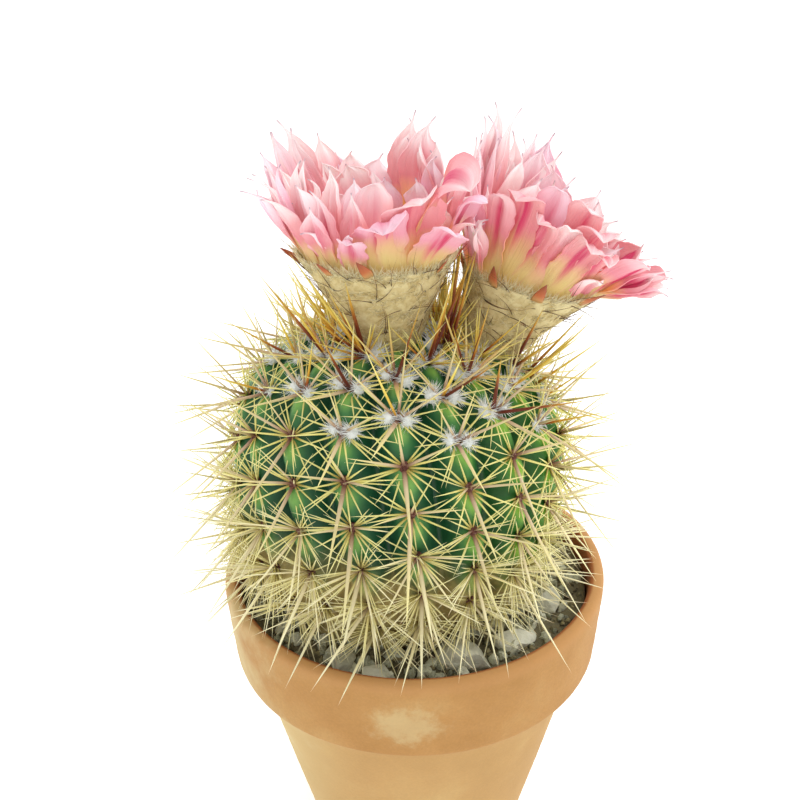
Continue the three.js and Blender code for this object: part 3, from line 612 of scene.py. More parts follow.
def skin_points():
    """The ribbed skin, row by row from the crown down, and the neck that stands in the soil."""
    lengths = np.linspace(0.02, CREST_LENGTH, int(CREST_LENGTH / ROW_STEP))[:, None]
    column = np.arange(RIBS * COLUMNS_PER_RIB)[None, :]
    turn = column / COLUMNS_PER_RIB
    rib = np.round(turn) % RIBS
    across = turn - np.round(turn)
    radius, height, out, up = crest_at(lengths)
    fade = smooth(4, 16, lengths) * (1 - smooth(CREST_LENGTH - 14, CREST_LENGTH, lengths))
    valley = 1 - np.abs(np.cos(math.pi * across)) ** 0.9
    phase = (lengths / AREOLE_SPACING - areole_shift(rib) - 0.5 * (rib % 2)) % 1.0
    chin = np.sin(math.pi * np.clip(phase / 0.85, 0, 1)) ** 1.2
    notch = np.exp(-((phase - NOTCH_PLACE) / NOTCH_LENGTH) ** 2)
    near = np.exp(-(across / CHIN_REACH) ** 2)
    wide = np.exp(-(across / NOTCH_REACH) ** 2)
    flank = FLANK * np.sin(math.pi * 2 * phase) * np.exp(-((np.abs(across) - 0.3) / 0.12) ** 2)
    relief = (CHIN * chin * near - NOTCH * notch * wide + flank) * fade
    depth = RIB_DEPTH * radius / GLOBE_RADIUS * fade * valley - relief
    skin = on_globe(radius - depth * out, rib_angle(turn, lengths), height - depth * up)
    # Painted light: the crest value is brightest on the crests and on the chin below each areole, and lowest
    # in the valleys and notches, as painted highlight and painted shade
    painted_chin_light = np.exp(-(((phase + 0.02) % 1.0 - 0.3) / 0.3) ** 2)
    crest = np.exp(-(across / 0.23) ** 2) * (0.3 + 0.7 * painted_chin_light) * fade
    crest *= 1 - 0.75 * notch * near
    age = np.broadcast_to(lengths / CREST_LENGTH, crest.shape)
    rows = [skin.reshape(-1, 3)]
    neck_turn = rib_angle(turn[0], CREST_LENGTH)
    for neck_radius, neck_height in NECK:
        rows.append(on_globe(neck_radius, neck_turn, neck_height))
    hidden = np.zeros(len(NECK) * column.shape[1])
    return (np.concatenate(rows), np.concatenate([crest.ravel(), hidden]),
            np.concatenate([age.ravel(), hidden + 1]))


# How wide the skin's patterns are: soft mottling, flakes of cork and pores
SKIN_MOTTLE = 6.25
CORK_FLAKES = 9.091
SKIN_PORES = 1.1111
SKIN_PORE_DEPTH = 0.2
# Places from left to right between which painted light makes the skin brighter and yellower, most on the
# right
PAINTED_LIGHT_SIDE = (-4, 36)

# Waxy cuticle over green tissue: a satin sheen, light let a little way in, and dry cork on the oldest part
skin_material, tree, shader = new_material(
    "waxy_cactus_skin", 0.45, Subsurface_Weight=0.1, Subsurface_Scale=0.003,
    Subsurface_Radius=(0.5, 1.0, 0.3), IOR=1.45)
coordinates = add(tree, "ShaderNodeTexCoord").outputs["Object"]
# The crest attribute is painted light: painted highlights on the crests and chins, painted shade in the
# valleys and notches
crest = add(tree, "ShaderNodeAttribute", {"attribute_name": "crest"})
age = add(tree, "ShaderNodeAttribute", {"attribute_name": "age"})
mottle = add(tree, "ShaderNodeTexNoise", {},
             {"Vector": coordinates, "Scale": pattern_scale(SKIN_MOTTLE), "Detail": 3, "Roughness": 0.6})
lift = add(tree, "ShaderNodeMath", {"operation": "MULTIPLY_ADD"},
           {0: mottle.outputs["Fac"], 1: 0.2, 2: crest.outputs["Fac"]})
green = add(tree, "ShaderNodeValToRGB",
            {"stops": [(0.08, "#174a33"), (0.3, "#205a3a"), (0.6, "#3d7a42"), (1.0, "#78ac56")]},
            {"Fac": lift})
axes = add(tree, "ShaderNodeSeparateXYZ", {}, {"Vector": coordinates})
# Painted light: the skin turns brighter and yellower towards the right side
painted_side_light = add(tree, "ShaderNodeMapRange", {"interpolation_type": "SMOOTHSTEP"},
            {"Value": axes.outputs["X"], **span_of(*PAINTED_LIGHT_SIDE), "To Min": 0.06, "To Max": 0.95})
painted_side_lit = add(tree, "ShaderNodeMix", {"data_type": "RGBA", "blend_type": "SOFT_LIGHT"},
               {"Factor": painted_side_light, "A": green, "B": linear("#e8e060")})
cork_noise = add(tree, "ShaderNodeTexNoise", {},
                 {"Vector": coordinates, "Scale": pattern_scale(CORK_FLAKES), "Detail": 6, "Roughness": 0.7})
cork_place = add(tree, "ShaderNodeMath", {"operation": "MULTIPLY_ADD"},
                 {0: cork_noise.outputs["Fac"], 1: 0.16, 2: age.outputs["Fac"]})
cork_share = add(tree, "ShaderNodeMapRange", {"interpolation_type": "SMOOTHSTEP"},
                 {"Value": cork_place, "From Min": 0.78, "From Max": 0.93})
cork = add(tree, "ShaderNodeValToRGB", {"stops": [(0.3, "#8d794a"), (0.5, "#b5a268"), (0.7, "#cfc084")]},
           {"Fac": cork_noise.outputs["Fac"]})
aged = add(tree, "ShaderNodeMix", {"data_type": "RGBA"}, {"Factor": cork_share, "A": painted_side_lit, "B": cork})
tree.links.new(aged.outputs[2], shader.inputs["Base Color"])
skin_roughness = add(tree, "ShaderNodeMapRange", {}, {"Value": cork_share, "To Min": 0.42, "To Max": 0.85})
tree.links.new(skin_roughness.outputs["Result"], shader.inputs["Roughness"])
pores = add(tree, "ShaderNodeTexNoise", {},
            {"Vector": coordinates, "Scale": pattern_scale(SKIN_PORES), "Detail": 3})
bump = add(tree, "ShaderNodeBump", {},
           {"Height": pores.outputs["Fac"], "Strength": 0.25, "Distance": SKIN_PORE_DEPTH * MM})
tree.links.new(bump.outputs["Normal"], shader.inputs["Normal"])

points, painted_light_values, age_values = skin_points()
columns = RIBS * COLUMNS_PER_RIB
body = piece_of("ribbed_body", points, turned_faces(len(points) // columns, columns, inward=True),
                {"crest": painted_light_values, "age": age_values})
finish_piece(body, skin_material, "cactus_skin", "cactus_body")

# Where the two blooms stand on the crown: their feet, the centres of their rims, the ways these face, and how
# much painted light makes the tube's wool paler
BLOOMS = [
    {"name": "left", "foot": (-6, -3, 163.5), "rim": (-8.2, -5, 189), "rim_radius": 19.3,
     "rim_faces": (0.02, 0.09, 1), "petals_face": (-0.14, 0.1, 1), "tube_painted_lighter": 0.0, "seed": 11},
    {"name": "right", "foot": (19, 5, 157), "rim": (31.3, 7, 177.3), "rim_radius": 17.6,
     "rim_faces": (0.26, 0.12, 1), "petals_face": (0.82, 0.16, 1), "tube_painted_lighter": 0.7, "seed": 23},
]
TUBE_FLOOR = 9

for bloom in BLOOMS:
    run = np.array(bloom["rim"], float) - np.array(bloom["foot"], float)
    rim, height = bloom["rim_radius"], float(np.linalg.norm(run))
    faces_way = unit(bloom["rim_faces"])
    right = unit(np.array([1, 0, 0]) - faces_way * faces_way[0])
    bloom["height"] = height
    bloom["axes"] = np.array([right, np.cross(faces_way, right), run / height])
    bloom["petals_face"] = unit(bloom["petals_face"])
    # The funnel's wall as (radius, height): up its outside from the foot, and down its inside to its floor
    bloom["outside"] = [(rim * 0.26, -2.2), (rim * 0.44, 0.4), (rim * 0.53, height * 0.2),
                        (rim * 0.66, height * 0.47), (rim * 0.84, height * 0.76), (rim, height - 0.4)]
    bloom["inside"] = [(rim - 0.9, height - 0.5), (rim * 0.76, height * 0.7), (rim * 0.52, height * 0.45),
                       (rim * 0.27, TUBE_FLOOR + 0.4), (0.02, TUBE_FLOOR)]


def bloom_point(bloom, radius, angle, height):
    """A point at a radius, angle and height in the bloom's own axes."""
    radius, angle, height = np.broadcast_arrays(radius, angle, height)
    own = np.stack([radius * np.cos(angle), radius * np.sin(angle), height], -1)
    return own @ bloom["axes"] + np.array(bloom["foot"])


def wall_radius(wall, height):
    """The radius of the tube's wall at a height; the wall is (radius, height) points."""
    pairs = sorted((h, r) for r, h in wall)
    return float(np.interp(height, [h for h, _ in pairs], [r for _, r in pairs]))


def beside_tubes(place):
    """How far a point is outside the nearest tube's wall, and the way out from that tube's middle."""
    nearest = None
    for bloom in BLOOMS:
        own = np.linalg.solve(bloom["axes"].T, place - np.array(bloom["foot"]))
        radius = math.hypot(own[0], own[1])
        gap = radius - wall_radius(bloom["outside"], own[2])
        if own[2] < bloom["height"] and (nearest is None or gap < nearest[0]):
            nearest = gap, unit(own[0] * bloom["axes"][0] + own[1] * bloom["axes"][1])
    return nearest or (99.0, np.zeros(3))


def areole_frames():
    """Every areole: its place, and the directions out, down its rib and to its side."""
    found = []
    for rib in range(RIBS):
        for i in range(AREOLES_PER_RIB):
            length = (i + areole_shift(rib) + 0.5 * (rib % 2)) * AREOLE_SPACING
            if length < FIRST_AREOLE or length > CREST_LENGTH - 3:
                continue
            radius, height, out, up = crest_at(length)
            angle = rib_angle(rib, length)
            place = on_globe(radius, angle, height)
            if beside_tubes(place)[0] < 0.3:
                continue
            outward = on_globe(radius + out, angle, height + up) - place
            down = on_globe(radius + up, angle, height - out) - place
            side = unit(np.cross(down, outward))
            found.append({"length": length, "place": place, "out": outward, "down": down, "side": side})
    return found


areoles = areole_frames()

# Areole cushions
# A small oval pad of matted felt at the top of every chin, brown and tight. It is grown with the skin, and
# all of the areole's spines come out of it.


def point_values(tree):
    """The turn that a tree's points ask for by their aim and lean, with their width and their length."""
    aim, lean = (add(tree, "GeometryNodeInputNamedAttribute", {"data_type": "FLOAT_VECTOR"}, {"Name": name})
                 for name in ("aim", "lean"))
    width, length = (add(tree, "GeometryNodeInputNamedAttribute", {"data_type": "FLOAT"}, {"Name": name})
                     for name in ("width", "length"))
    upright = add(tree, "FunctionNodeAlignRotationToVector", {"axis": "Z"}, {"Vector": aim.outputs[0]})
    turned = add(tree, "FunctionNodeAlignRotationToVector", {"axis": "Y", "pivot_axis": "Z"},
                 {"Rotation": upright, "Vector": lean.outputs[0]})
    return turned, width.outputs[0], length.outputs[0]


def plant_on_points(tree, given, output, shape, turned, scale):
    """Ends a tree: the shape on each point, turned and sized, made real, smooth and given its material."""
    placed = add(tree, "GeometryNodeInstanceOnPoints", {},
                 {"Points": given["Geometry"], "Instance": shape, "Rotation": turned, "Scale": scale})
    real = add(tree, "GeometryNodeRealizeInstances", {}, {"Geometry": placed})
    smoothed = add(tree, "GeometryNodeSetShadeSmooth", {}, {"Geometry": real})
    coated = add(tree, "GeometryNodeSetMaterial", {}, {"Geometry": smoothed, "Material": given["Material"]})
    tree.links.new(coated.outputs[0], output.inputs[0])


pads, given, output = new_tree("felt_pads", {"Height": "Float", "Material": "Material"})
ball = add(pads, "GeometryNodeMeshUVSphere", {}, {"Segments": 10, "Rings": 6, "Radius": 1.0})
turned, width, length = point_values(pads)
tall = add(pads, "ShaderNodeMath", {"operation": "MULTIPLY"}, {0: width, 1: given["Height"]})
scale = add(pads, "ShaderNodeCombineXYZ", {}, {"X": width, "Y": length, "Z": tall})
plant_on_points(pads, given, output, ball.outputs[0], turned, scale)

PAD_HALF_WIDTH = 1.25
PAD_HALF_LENGTH = 1.65
PAD_SINK = 0.25
FELT_FUZZ = 0.6667
FELT_FUZZ_DEPTH = 0.5

# Matted plant felt: no gloss, dark red-brown with a grey bloom
felt, tree, shader = new_material("areole_felt", 0.95)
coordinates = add(tree, "ShaderNodeTexCoord").outputs["Object"]
fuzz = add(tree, "ShaderNodeTexNoise", {},
           {"Vector": coordinates, "Scale": pattern_scale(FELT_FUZZ), "Detail": 3, "Roughness": 0.7})
colour = add(tree, "ShaderNodeValToRGB", {"stops": [(0.35, "#3a1c18"), (0.52, "#66382d"), (0.7, "#9c7f70")]},
             {"Fac": fuzz.outputs["Fac"]})
tree.links.new(colour.outputs["Color"], shader.inputs["Base Color"])
bump = add(tree, "ShaderNodeBump", {},
           {"Height": fuzz.outputs["Fac"], "Strength": 0.7, "Distance": FELT_FUZZ_DEPTH * MM})
tree.links.new(bump.outputs["Normal"], shader.inputs["Normal"])


def point_piece(name, rows):
    """Loose points in millimetres with their aim, lean, length, width, tone and level."""
    attributes = {}
    for key in ("aim", "lean", "length", "width", "tone", "level"):
        attributes[key] = np.array([row.get(key, 0.5) for row in rows], np.float32)
    for key in ("length", "width"):
        attributes[key] = attributes[key] * MM
    return piece_of(name, [row["place"] for row in rows], [], attributes)


pad_rows = [{"place": areole["place"] - areole["out"] * PAD_SINK, "aim": areole["out"],
             "lean": areole["down"], "width": PAD_HALF_WIDTH, "length": PAD_HALF_LENGTH}
            for areole in areoles]
cushions = grown("areole_cushions", point_piece("cushion_points", pad_rows), pads,
                 {"Height": 0.7, "Material": felt})
finish_piece(cushions, None, "cactus_skin")

# Spines
# Stiff, woody needles that grow out of the cushions, round in section, the stout lower one of each areole a
# little flattened. Young ones are golden with a red-brown root, older ones cream, and the oldest bleached.

# One tapered, slightly bent needle on every point, from the point's own aim, lean, length and width
needles, given, output = new_tree("needles", {
    "Sides": "Int", "Rings": "Int", "Bend": "Float", "Fullness": "Float", "Flatness": "Float",
    "Material": "Material",
})
tube = add(needles, "GeometryNodeMeshCylinder", {"fill_type": "NGON"},
           {"Vertices": given["Sides"], "Side Segments": given["Rings"], "Radius": 1.0, "Depth": 1.0})
standing = add(needles, "GeometryNodeTransform", {},
               {"Geometry": tube.outputs["Mesh"], "Translation": (0.0, 0.0, 0.5)})
parts = add(needles, "ShaderNodeSeparateXYZ", {}, {"Vector": add(needles, "GeometryNodeInputPosition")})
across, aside, up = parts.outputs["X"], parts.outputs["Y"], parts.outputs["Z"]
along = add(needles, "GeometryNodeStoreNamedAttribute", {"data_type": "FLOAT", "domain": "POINT"},
            {"Geometry": standing, "Name": "along", "Value": up})
narrowing = add(needles, "ShaderNodeMath", {"operation": "POWER"}, {0: up, 1: given["Fullness"]})
taper = add(needles, "ShaderNodeMath", {"operation": "SUBTRACT"}, {0: 1.03, 1: narrowing})
taper_x = add(needles, "ShaderNodeMath", {"operation": "MULTIPLY"}, {0: across, 1: taper})
taper_y = add(needles, "ShaderNodeMath", {"operation": "MULTIPLY"}, {0: aside, 1: taper})
squared = add(needles, "ShaderNodeMath", {"operation": "MULTIPLY"}, {0: up, 1: up})
bent_y = add(needles, "ShaderNodeMath", {"operation": "MULTIPLY_ADD"},
             {0: squared, 1: given["Bend"], 2: taper_y})
shaped_place = add(needles, "ShaderNodeCombineXYZ", {}, {"X": taper_x, "Y": bent_y, "Z": up})
shaped = add(needles, "GeometryNodeSetPosition", {}, {"Geometry": along, "Position": shaped_place})
turned, width, length = point_values(needles)
thin = add(needles, "ShaderNodeMath", {"operation": "MULTIPLY"}, {0: width, 1: given["Flatness"]})
scale = add(needles, "ShaderNodeCombineXYZ", {}, {"X": width, "Y": thin, "Z": length})
plant_on_points(needles, given, output, shaped, turned, scale)


def spine_material(name, young, grown_up, old, roughness):
    """Woody spine: a ramp along the needle for each age, mixed by the areole's level down the plant."""
    material, tree, shader = new_material(name, roughness, IOR=1.5)
    along = add(tree, "ShaderNodeAttribute", {"attribute_name": "along"})
    level = add(tree, "ShaderNodeAttribute", {"attribute_name": "level"})
    tone = add(tree, "ShaderNodeAttribute", {"attribute_name": "tone"})
    reach = add(tree, "ShaderNodeMapRange", {}, {"Value": tone.outputs["Fac"], "To Min": -0.5, "To Max": 0.2})
    young_place = add(tree, "ShaderNodeMath", {"operation": "ADD"}, {0: along.outputs["Fac"], 1: reach})
    ramps = [add(tree, "ShaderNodeValToRGB", {"stops": young}, {"Fac": young_place})]
    ramps += [add(tree, "ShaderNodeValToRGB", {"stops": stops}, {"Fac": along.outputs["Fac"]})
              for stops in (grown_up, old)]
    shifted = add(tree, "ShaderNodeMath", {"operation": "MULTIPLY_ADD"},
                  {0: tone.outputs["Fac"], 1: 0.14, 2: level.outputs["Fac"]})
    first = add(tree, "ShaderNodeMapRange", {"interpolation_type": "SMOOTHSTEP"},
                {"Value": shifted, "From Min": 0.28, "From Max": 0.44})
    second = add(tree, "ShaderNodeMapRange", {"interpolation_type": "SMOOTHSTEP"},
                 {"Value": shifted, "From Min": 0.66, "From Max": 0.9})
    younger = add(tree, "ShaderNodeMix", {"data_type": "RGBA"},
                  {"Factor": first, "A": ramps[0], "B": ramps[1]})
    older = add(tree, "ShaderNodeMix", {"data_type": "RGBA"}, {"Factor": second, "A": younger, "B": ramps[2]})
    # The tone scales the colour: partly at random, and partly painted light that makes the spines paler at
    # the plant's sides
    shade = add(tree, "ShaderNodeMapRange", {"clamp": False},
                {"Value": tone.outputs["Fac"], "To Min": 0.7, "To Max": 1.08})
    toned = add(tree, "ShaderNodeMix", {"data_type": "RGBA", "blend_type": "MULTIPLY"},
                {"Factor": 1.0, "A": older, "B": shade.outputs["Result"]})
    tree.links.new(toned.outputs[2], shader.inputs["Base Color"])
    return material


# Radial spines: dry and slightly glossy, cream with an orange-brown root
radial_wood = spine_material(
    "radial_spine_wood",
    [(0.0, "#b8742c"), (0.14, "#e2b844"), (0.45, "#eedc68"), (1.0, "#f5ed98")],
    [(0.0, "#a8653a"), (0.09, "#d2bc60"), (0.3, "#e6dd80"), (1.0, "#f3eea4")],
    [(0.0, "#ac8c56"), (0.15, "#dccd84"), (0.6, "#ece4a4"), (1.0, "#f8f3ca")], 0.5)
# Central spines: stout, red-brown at the root, with a beige, faintly pink shaft and a golden shaft when young
central_wood = spine_material(
    "central_spine_wood",
    [(0.0, "#7a2c16"), (0.14, "#ad5c1e"), (0.28, "#dea434"), (0.55, "#eed058"), (1.0, "#f5eb90")],
    [(0.0, "#774234"), (0.1, "#ac8870"), (0.28, "#d0bb94"), (0.7, "#e2d692"), (1.0, "#f0e79c")],
    [(0.0, "#8c6a50"), (0.15, "#cebf92"), (0.5, "#e8dfb0"), (0.85, "#f2ecc2"), (1.0, "#e6c090")], 0.42)


# How a spine is turned clear of the pot: the most steps, how far each one lifts it, and the room that it
# keeps above the rim, inside it and above the soil
CLEARING_STEPS = 34
CLEARING_LIFT = 0.12
ROOM_ABOVE_RIM = 0.8
ROOM_INSIDE_RIM = 1
ROOM_ABOVE_SOIL = 1.5


def clear_of_pot(root, way, length):
    """The way turned up, step by step, until a spine neither pierces the rim nor digs into the soil."""
    rim_inside = RIM_RADIUS - RIM_WALL - ROOM_INSIDE_RIM
    for _ in range(CLEARING_STEPS):
        tips = [root + way * length * share for share in (0.3, 0.5, 0.7, 0.85, 1.0)]
        clear = all(tip[2] > POT_HEIGHT + ROOM_ABOVE_RIM or math.hypot(tip[0], tip[1]) < rim_inside
                    for tip in tips)
        if clear and min(tip[2] for tip in tips) > SOIL_LEVEL + ROOM_ABOVE_SOIL:
            return way
        way = unit(way + np.array([0, 0, CLEARING_LIFT]))
    return way


# Loose ends may pass the solids' box by this much
BOX_MARGIN = 2.4
REACH_LOW = np.array(cad_box[0]) / MM - BOX_MARGIN
REACH_HIGH = np.array(cad_box[1]) / MM + BOX_MARGIN


def kept_length(root, way, length):
    """The length cut back so that the end stays within the box that loose ends may reach."""
    for k in (0, 1):
        limit = REACH_HIGH[k] if way[k] > 0 else REACH_LOW[k]
        if abs(way[k]) > 0.01:
            length = min(length, (limit - root[k]) / way[k])
    return length


ROOT_SINK = 0.5
# Tones run from this darkest one over this range, and are raised by up to this much at the plant's sides as
# painted light
DARKEST_TONE = 0.45
TONE_RANGE = 0.55
SIDE_PAINTED_LIGHT = 0.4


def spine_row(areole, angle, raised, length, width, chance, bend_out):
    """One spine of an areole, at an angle from straight down and raised from the skin."""
    way = (areole["out"] * math.sin(raised) + areole["down"] * math.cos(raised) * math.cos(angle)
           + areole["side"] * math.cos(raised) * math.sin(angle))
    root = areole["place"] - areole["out"] * ROOT_SINK
    way = clear_of_pot(root, way, length)
    length = kept_length(root, way, length)
    # Painted light: spines towards the plant's left and right sides get a paler tone
    tone = DARKEST_TONE + TONE_RANGE * chance.random() + SIDE_PAINTED_LIGHT * float(areole["out"][0]) ** 2
    return {"place": root + way * 0.3, "aim": way, "lean": areole["out"] * bend_out, "length": length,
            "width": width, "tone": tone, "level": areole["length"] / CREST_LENGTH}


# The longest and stoutest spines, which stand up round the flower tubes: root, tip, half width, and tone from
# red-brown to golden
CROWN_SPINES = [
    ((-20.6, -11.5, 163.8), (-37.3, -14.5, 188.4), 0.7, 0.3),
    ((-11.4, -13.3, 165.0), (-29.2, -14.1, 192.7), 0.85, 0.8),
    ((-11.4, -13.3, 165.0), (-15.2, -27.5, 190.4), 0.8, 0.1),
    ((-11.4, -13.3, 165.0), (-19.8, -25.2, 188.2), 0.6, 0.2),
    ((-14.9, -23.7, 161.0), (-20.3, -37.4, 180.0), 0.7, 0.0),
    ((-3.3, -31.7, 156.8), (-11.3, -36.5, 178.9), 0.5, 1.0),
    ((-3.9, -21.7, 162.6), (3.3, -29.1, 186.5), 0.5, 0.15),
    ((4.2, -15.2, 163.6), (11.0, -25.6, 190.9), 0.7, 0.2),
    ((4.2, -15.2, 163.6), (17.2, -4.6, 190.9), 0.65, 0.15),
    ((4.2, -15.2, 163.6), (8.8, -29.0, 186.3), 0.55, 0.25),
    ((-3.9, -21.7, 162.6), (0.3, -34.4, 177.5), 0.5, 0.0),
    ((-26.3, -20.3, 158.8), (-22.7, -28.6, 176.6), 0.5, 0.6),
    ((-29.2, -5.8, 161.4), (-45.9, -17.8, 177.4), 0.6, 0.4),
    ((-11.4, -13.3, 165.0), (-16.2, -26.8, 183.1), 0.6, 0.7),
    ((-11.4, -13.3, 165.0), (-19.6, -27.4, 185.3), 0.6, 0.6),
    ((-36.3, -12.7, 155.3), (-50.6, -27.3, 167.7), 0.5, 0.7),
    ((26.2, -2.4, 155.9), (32.9, -17.7, 179.0), 0.8, 0.05),
    ((14.0, -16.1, 160.5), (18.9, -27.7, 184.4), 0.6, 0.1),
    ((14.0, -16.1, 160.5), (16.7, -29.6, 177.7), 0.5, 0.15),
    ((7.4, -25.3, 159.1), (20.1, -41.0, 175.4), 0.7, 0.0),
    ((20.0, -23.7, 154.0), (42.4, -34.1, 162.0), 0.65, 0.1),
    ((31.8, -16.7, 146.8), (48.0, -33.2, 158.7), 0.5, 0.6),
    ((32.5, 7.9, 149.3), (43.7, -8.1, 169.3), 0.75, 0.7),
    ((26.2, -2.4, 155.9), (36.2, -20.2, 172.5), 0.75, 0.5),
    ((24.9, -12.8, 155.3), (38.3, -24.7, 171.3), 0.6, 0.9),
    ((20.0, -23.7, 154.0), (21.2, -33.7, 173.6), 0.6, 0.05),
    ((7.4, -25.3, 159.1), (11.7, -42.8, 177.9), 0.55, 0.9),
    ((14.0, -16.1, 160.5), (9.7, -29.4, 180.0), 0.45, 0.05),
    ((-29.2, -5.8, 161.4), (-34.1, -19.1, 183.2), 0.5, 0.9),
    ((34.4, -4.0, 147.8), (46.8, -18.8, 165.3), 0.5, 0.8),
    ((30.0, -2.0, 152.0), (47.0, -8.0, 172.0), 0.7, 0.7),
    ((31.0, 3.0, 152.0), (47.0, -2.0, 173.0), 0.6, 0.6),
    ((28.0, -6.0, 154.0), (44.0, -14.0, 171.0), 0.6, 0.85),
    ((33.0, 0.0, 150.0), (50.0, -10.0, 168.0), 0.6, 0.9),
    ((-17.0, -9.0, 165.0), (-31.0, -10.0, 190.0), 0.7, 0.75),
    ((-16.0, -9.0, 165.0), (-29.0, -15.0, 188.0), 0.6, 0.6),
    ((-20.6, -11.5, 163.8), (-33.0, -14.0, 186.0), 0.6, 0.9),
    ((8.5, -7.0, 163.0), (14.0, -7.0, 197.0), 0.8, 0.2),
    ((9.5, -5.0, 163.0), (12.0, -4.0, 193.0), 0.7, 0.4),
    ((8.0, -9.0, 163.0), (15.5, -9.0, 190.0), 0.7, 0.1),
    ((8.5, -8.0, 163.0), (11.5, -10.0, 188.0), 0.6, 0.5),
    ((9.0, -9.0, 162.0), (17.0, -12.0, 193.0), 0.7, 0.3),
    ((10.0, -2.0, 162.0), (13.0, 0.0, 192.0), 0.7, 0.6),
]

RADIALS_A_SIDE = 8
RADIAL_HALF_WIDTH = 0.28
SHORT_HALF_WIDTH = 0.24
SHORT_AT_FOOT = 24
SHORT_AT_CROWN = 6
# How near a spine at the crown may come to a flower tube before it is turned away, and how strongly
TUBE_ROOM = 5
TUBE_PUSH = 0.14
TUBE_LIFT = 0.25

radial_rows, central_rows = [], []
chance = random.Random(31)
for areole in areoles:
    crown = 1 - float(smooth(18, 40, areole["length"]))
    foot = float(smooth(62, 90, areole["length"]))
    sideways = abs(areole["out"][0]) ** 3
    for hand in (-1, 1):
        for k in range(RADIALS_A_SIDE):
            angle = hand * (0.28 + k * 0.34 + chance.uniform(-0.15, 0.15))
            raised = 0.12 + 0.6 * chance.random() ** 2 + 0.4 * foot * chance.random() + 0.4 * crown
            length = chance.uniform(10.5, 15) * (1 - 0.1 * crown) * (1.1 - 0.35 * abs(k - 3.5) / 5)
            length *= 1 + 0.35 * sideways
            radial_rows.append(spine_row(areole, angle, raised, length, RADIAL_HALF_WIDTH, chance, -1))
    for _ in range(int(SHORT_AT_FOOT * foot) + (SHORT_AT_CROWN if crown > 0.5 else 0)):
        radial_rows.append(spine_row(areole, chance.uniform(0, 6.28), chance.uniform(0.25, 1.0),
                                     chance.uniform(8, 14 + 5 * foot), SHORT_HALF_WIDTH, chance, -1))
    # Each central spine: its angle from straight down, how far it is raised, its length and its half width
    down_angle = 0.6 * (chance.random() - 0.5)
    if crown < 0.5:
        plan = [(down_angle, 0.64 + 0.12 * foot, 24 + 2 * foot, 0.62), (1.9 + down_angle, 0.82, 21, 0.4),
                (-1.9 + down_angle, 0.82, 21, 0.4), (math.pi + down_angle, 0.95, 19, 0.38)]
        if foot > 0.3:
            plan += [(0.7 + down_angle, 0.6, 18, 0.4), (-0.7 + down_angle, 0.7, 18, 0.4)]
    else:
        plan = [(k * 0.9 + down_angle, chance.uniform(0.55, 1.15), chance.uniform(15, 24), 0.5)
                for k in range(-3, 4)]
    for angle, raised, length, width in plan:
        length *= chance.uniform(0.82, 1.15) * (1 + 0.18 * sideways)
        raised += chance.uniform(-0.16, 0.2)
        row = spine_row(areole, angle + chance.uniform(-0.2, 0.2), raised, length, width, chance, 1)
        gap, off_tube = beside_tubes(areole["place"] + row["aim"] * length * 0.5)
        if crown > 0.3 and gap < TUBE_ROOM:
            push = off_tube * (TUBE_ROOM - gap) * TUBE_PUSH
            row["aim"] = unit(row["aim"] + push + np.array([0, 0, TUBE_LIFT]))
        central_rows.append(row)

for root, tip, width, tone in CROWN_SPINES:
    root, tip = np.array(root), np.array(tip)
    way = unit(tip - root)
    length = kept_length(root, way, np.linalg.norm(tip - root))
    central_rows.append({"place": root, "aim": way, "lean": (0, -0.2, 1), "length": length, "width": width,
                         "tone": tone, "level": 0.1})

radials = grown("radial_spines", point_piece("radial_points", radial_rows), needles, {
    "Sides": 4, "Rings": 3, "Bend": 4.0, "Fullness": 2.2, "Flatness": 0.8, "Material": radial_wood,
})
finish_piece(radials, None, "cactus_skin")
centrals = grown("central_spines", point_piece("central_points", central_rows), needles, {
    "Sides": 6, "Rings": 5, "Bend": 1.4, "Fullness": 1.7, "Flatness": 0.6, "Material": central_wood,
})
finish_piece(centrals, None, "cactus_skin")

# Wool
# The plant's own hairs, fine, white and curly, which grow out of the young areoles. They stand in two lobes
# beside the spines, thickest round the crown, and weather away further down.

WOOL_HAIRS = 128
WOOL_HAIR_HALF_WIDTH = 0.09
# Lengths down a rib between which the wool weathers away, and how far to the side of its middle it thins
WOOL_FADES = 42
WOOL_ENDS = 56
WOOL_MIDDLE = -3
WOOL_THINS = (22, 34)
LEAST_WOOL = 0.12

# Hollow plant hairs: soft, white with a cool grey shade, no gloss, and a faint painted glow of their own
wool_hair, tree, shader = new_material("white_plant_wool_painted_glow", 0.95, Emission_Strength=0.07)
shader.inputs["Emission Color"].default_value = linear("#ffffff")
tone = add(tree, "ShaderNodeAttribute", {"attribute_name": "tone"})
colour = add(tree, "ShaderNodeValToRGB", {"stops": [(0.0, "#d6dbd8"), (0.5, "#ebeeea"), (1.0, "#fcfdfa")]},
             {"Fac": tone.outputs["Fac"]})
tree.links.new(colour.outputs["Color"], shader.inputs["Base Color"])

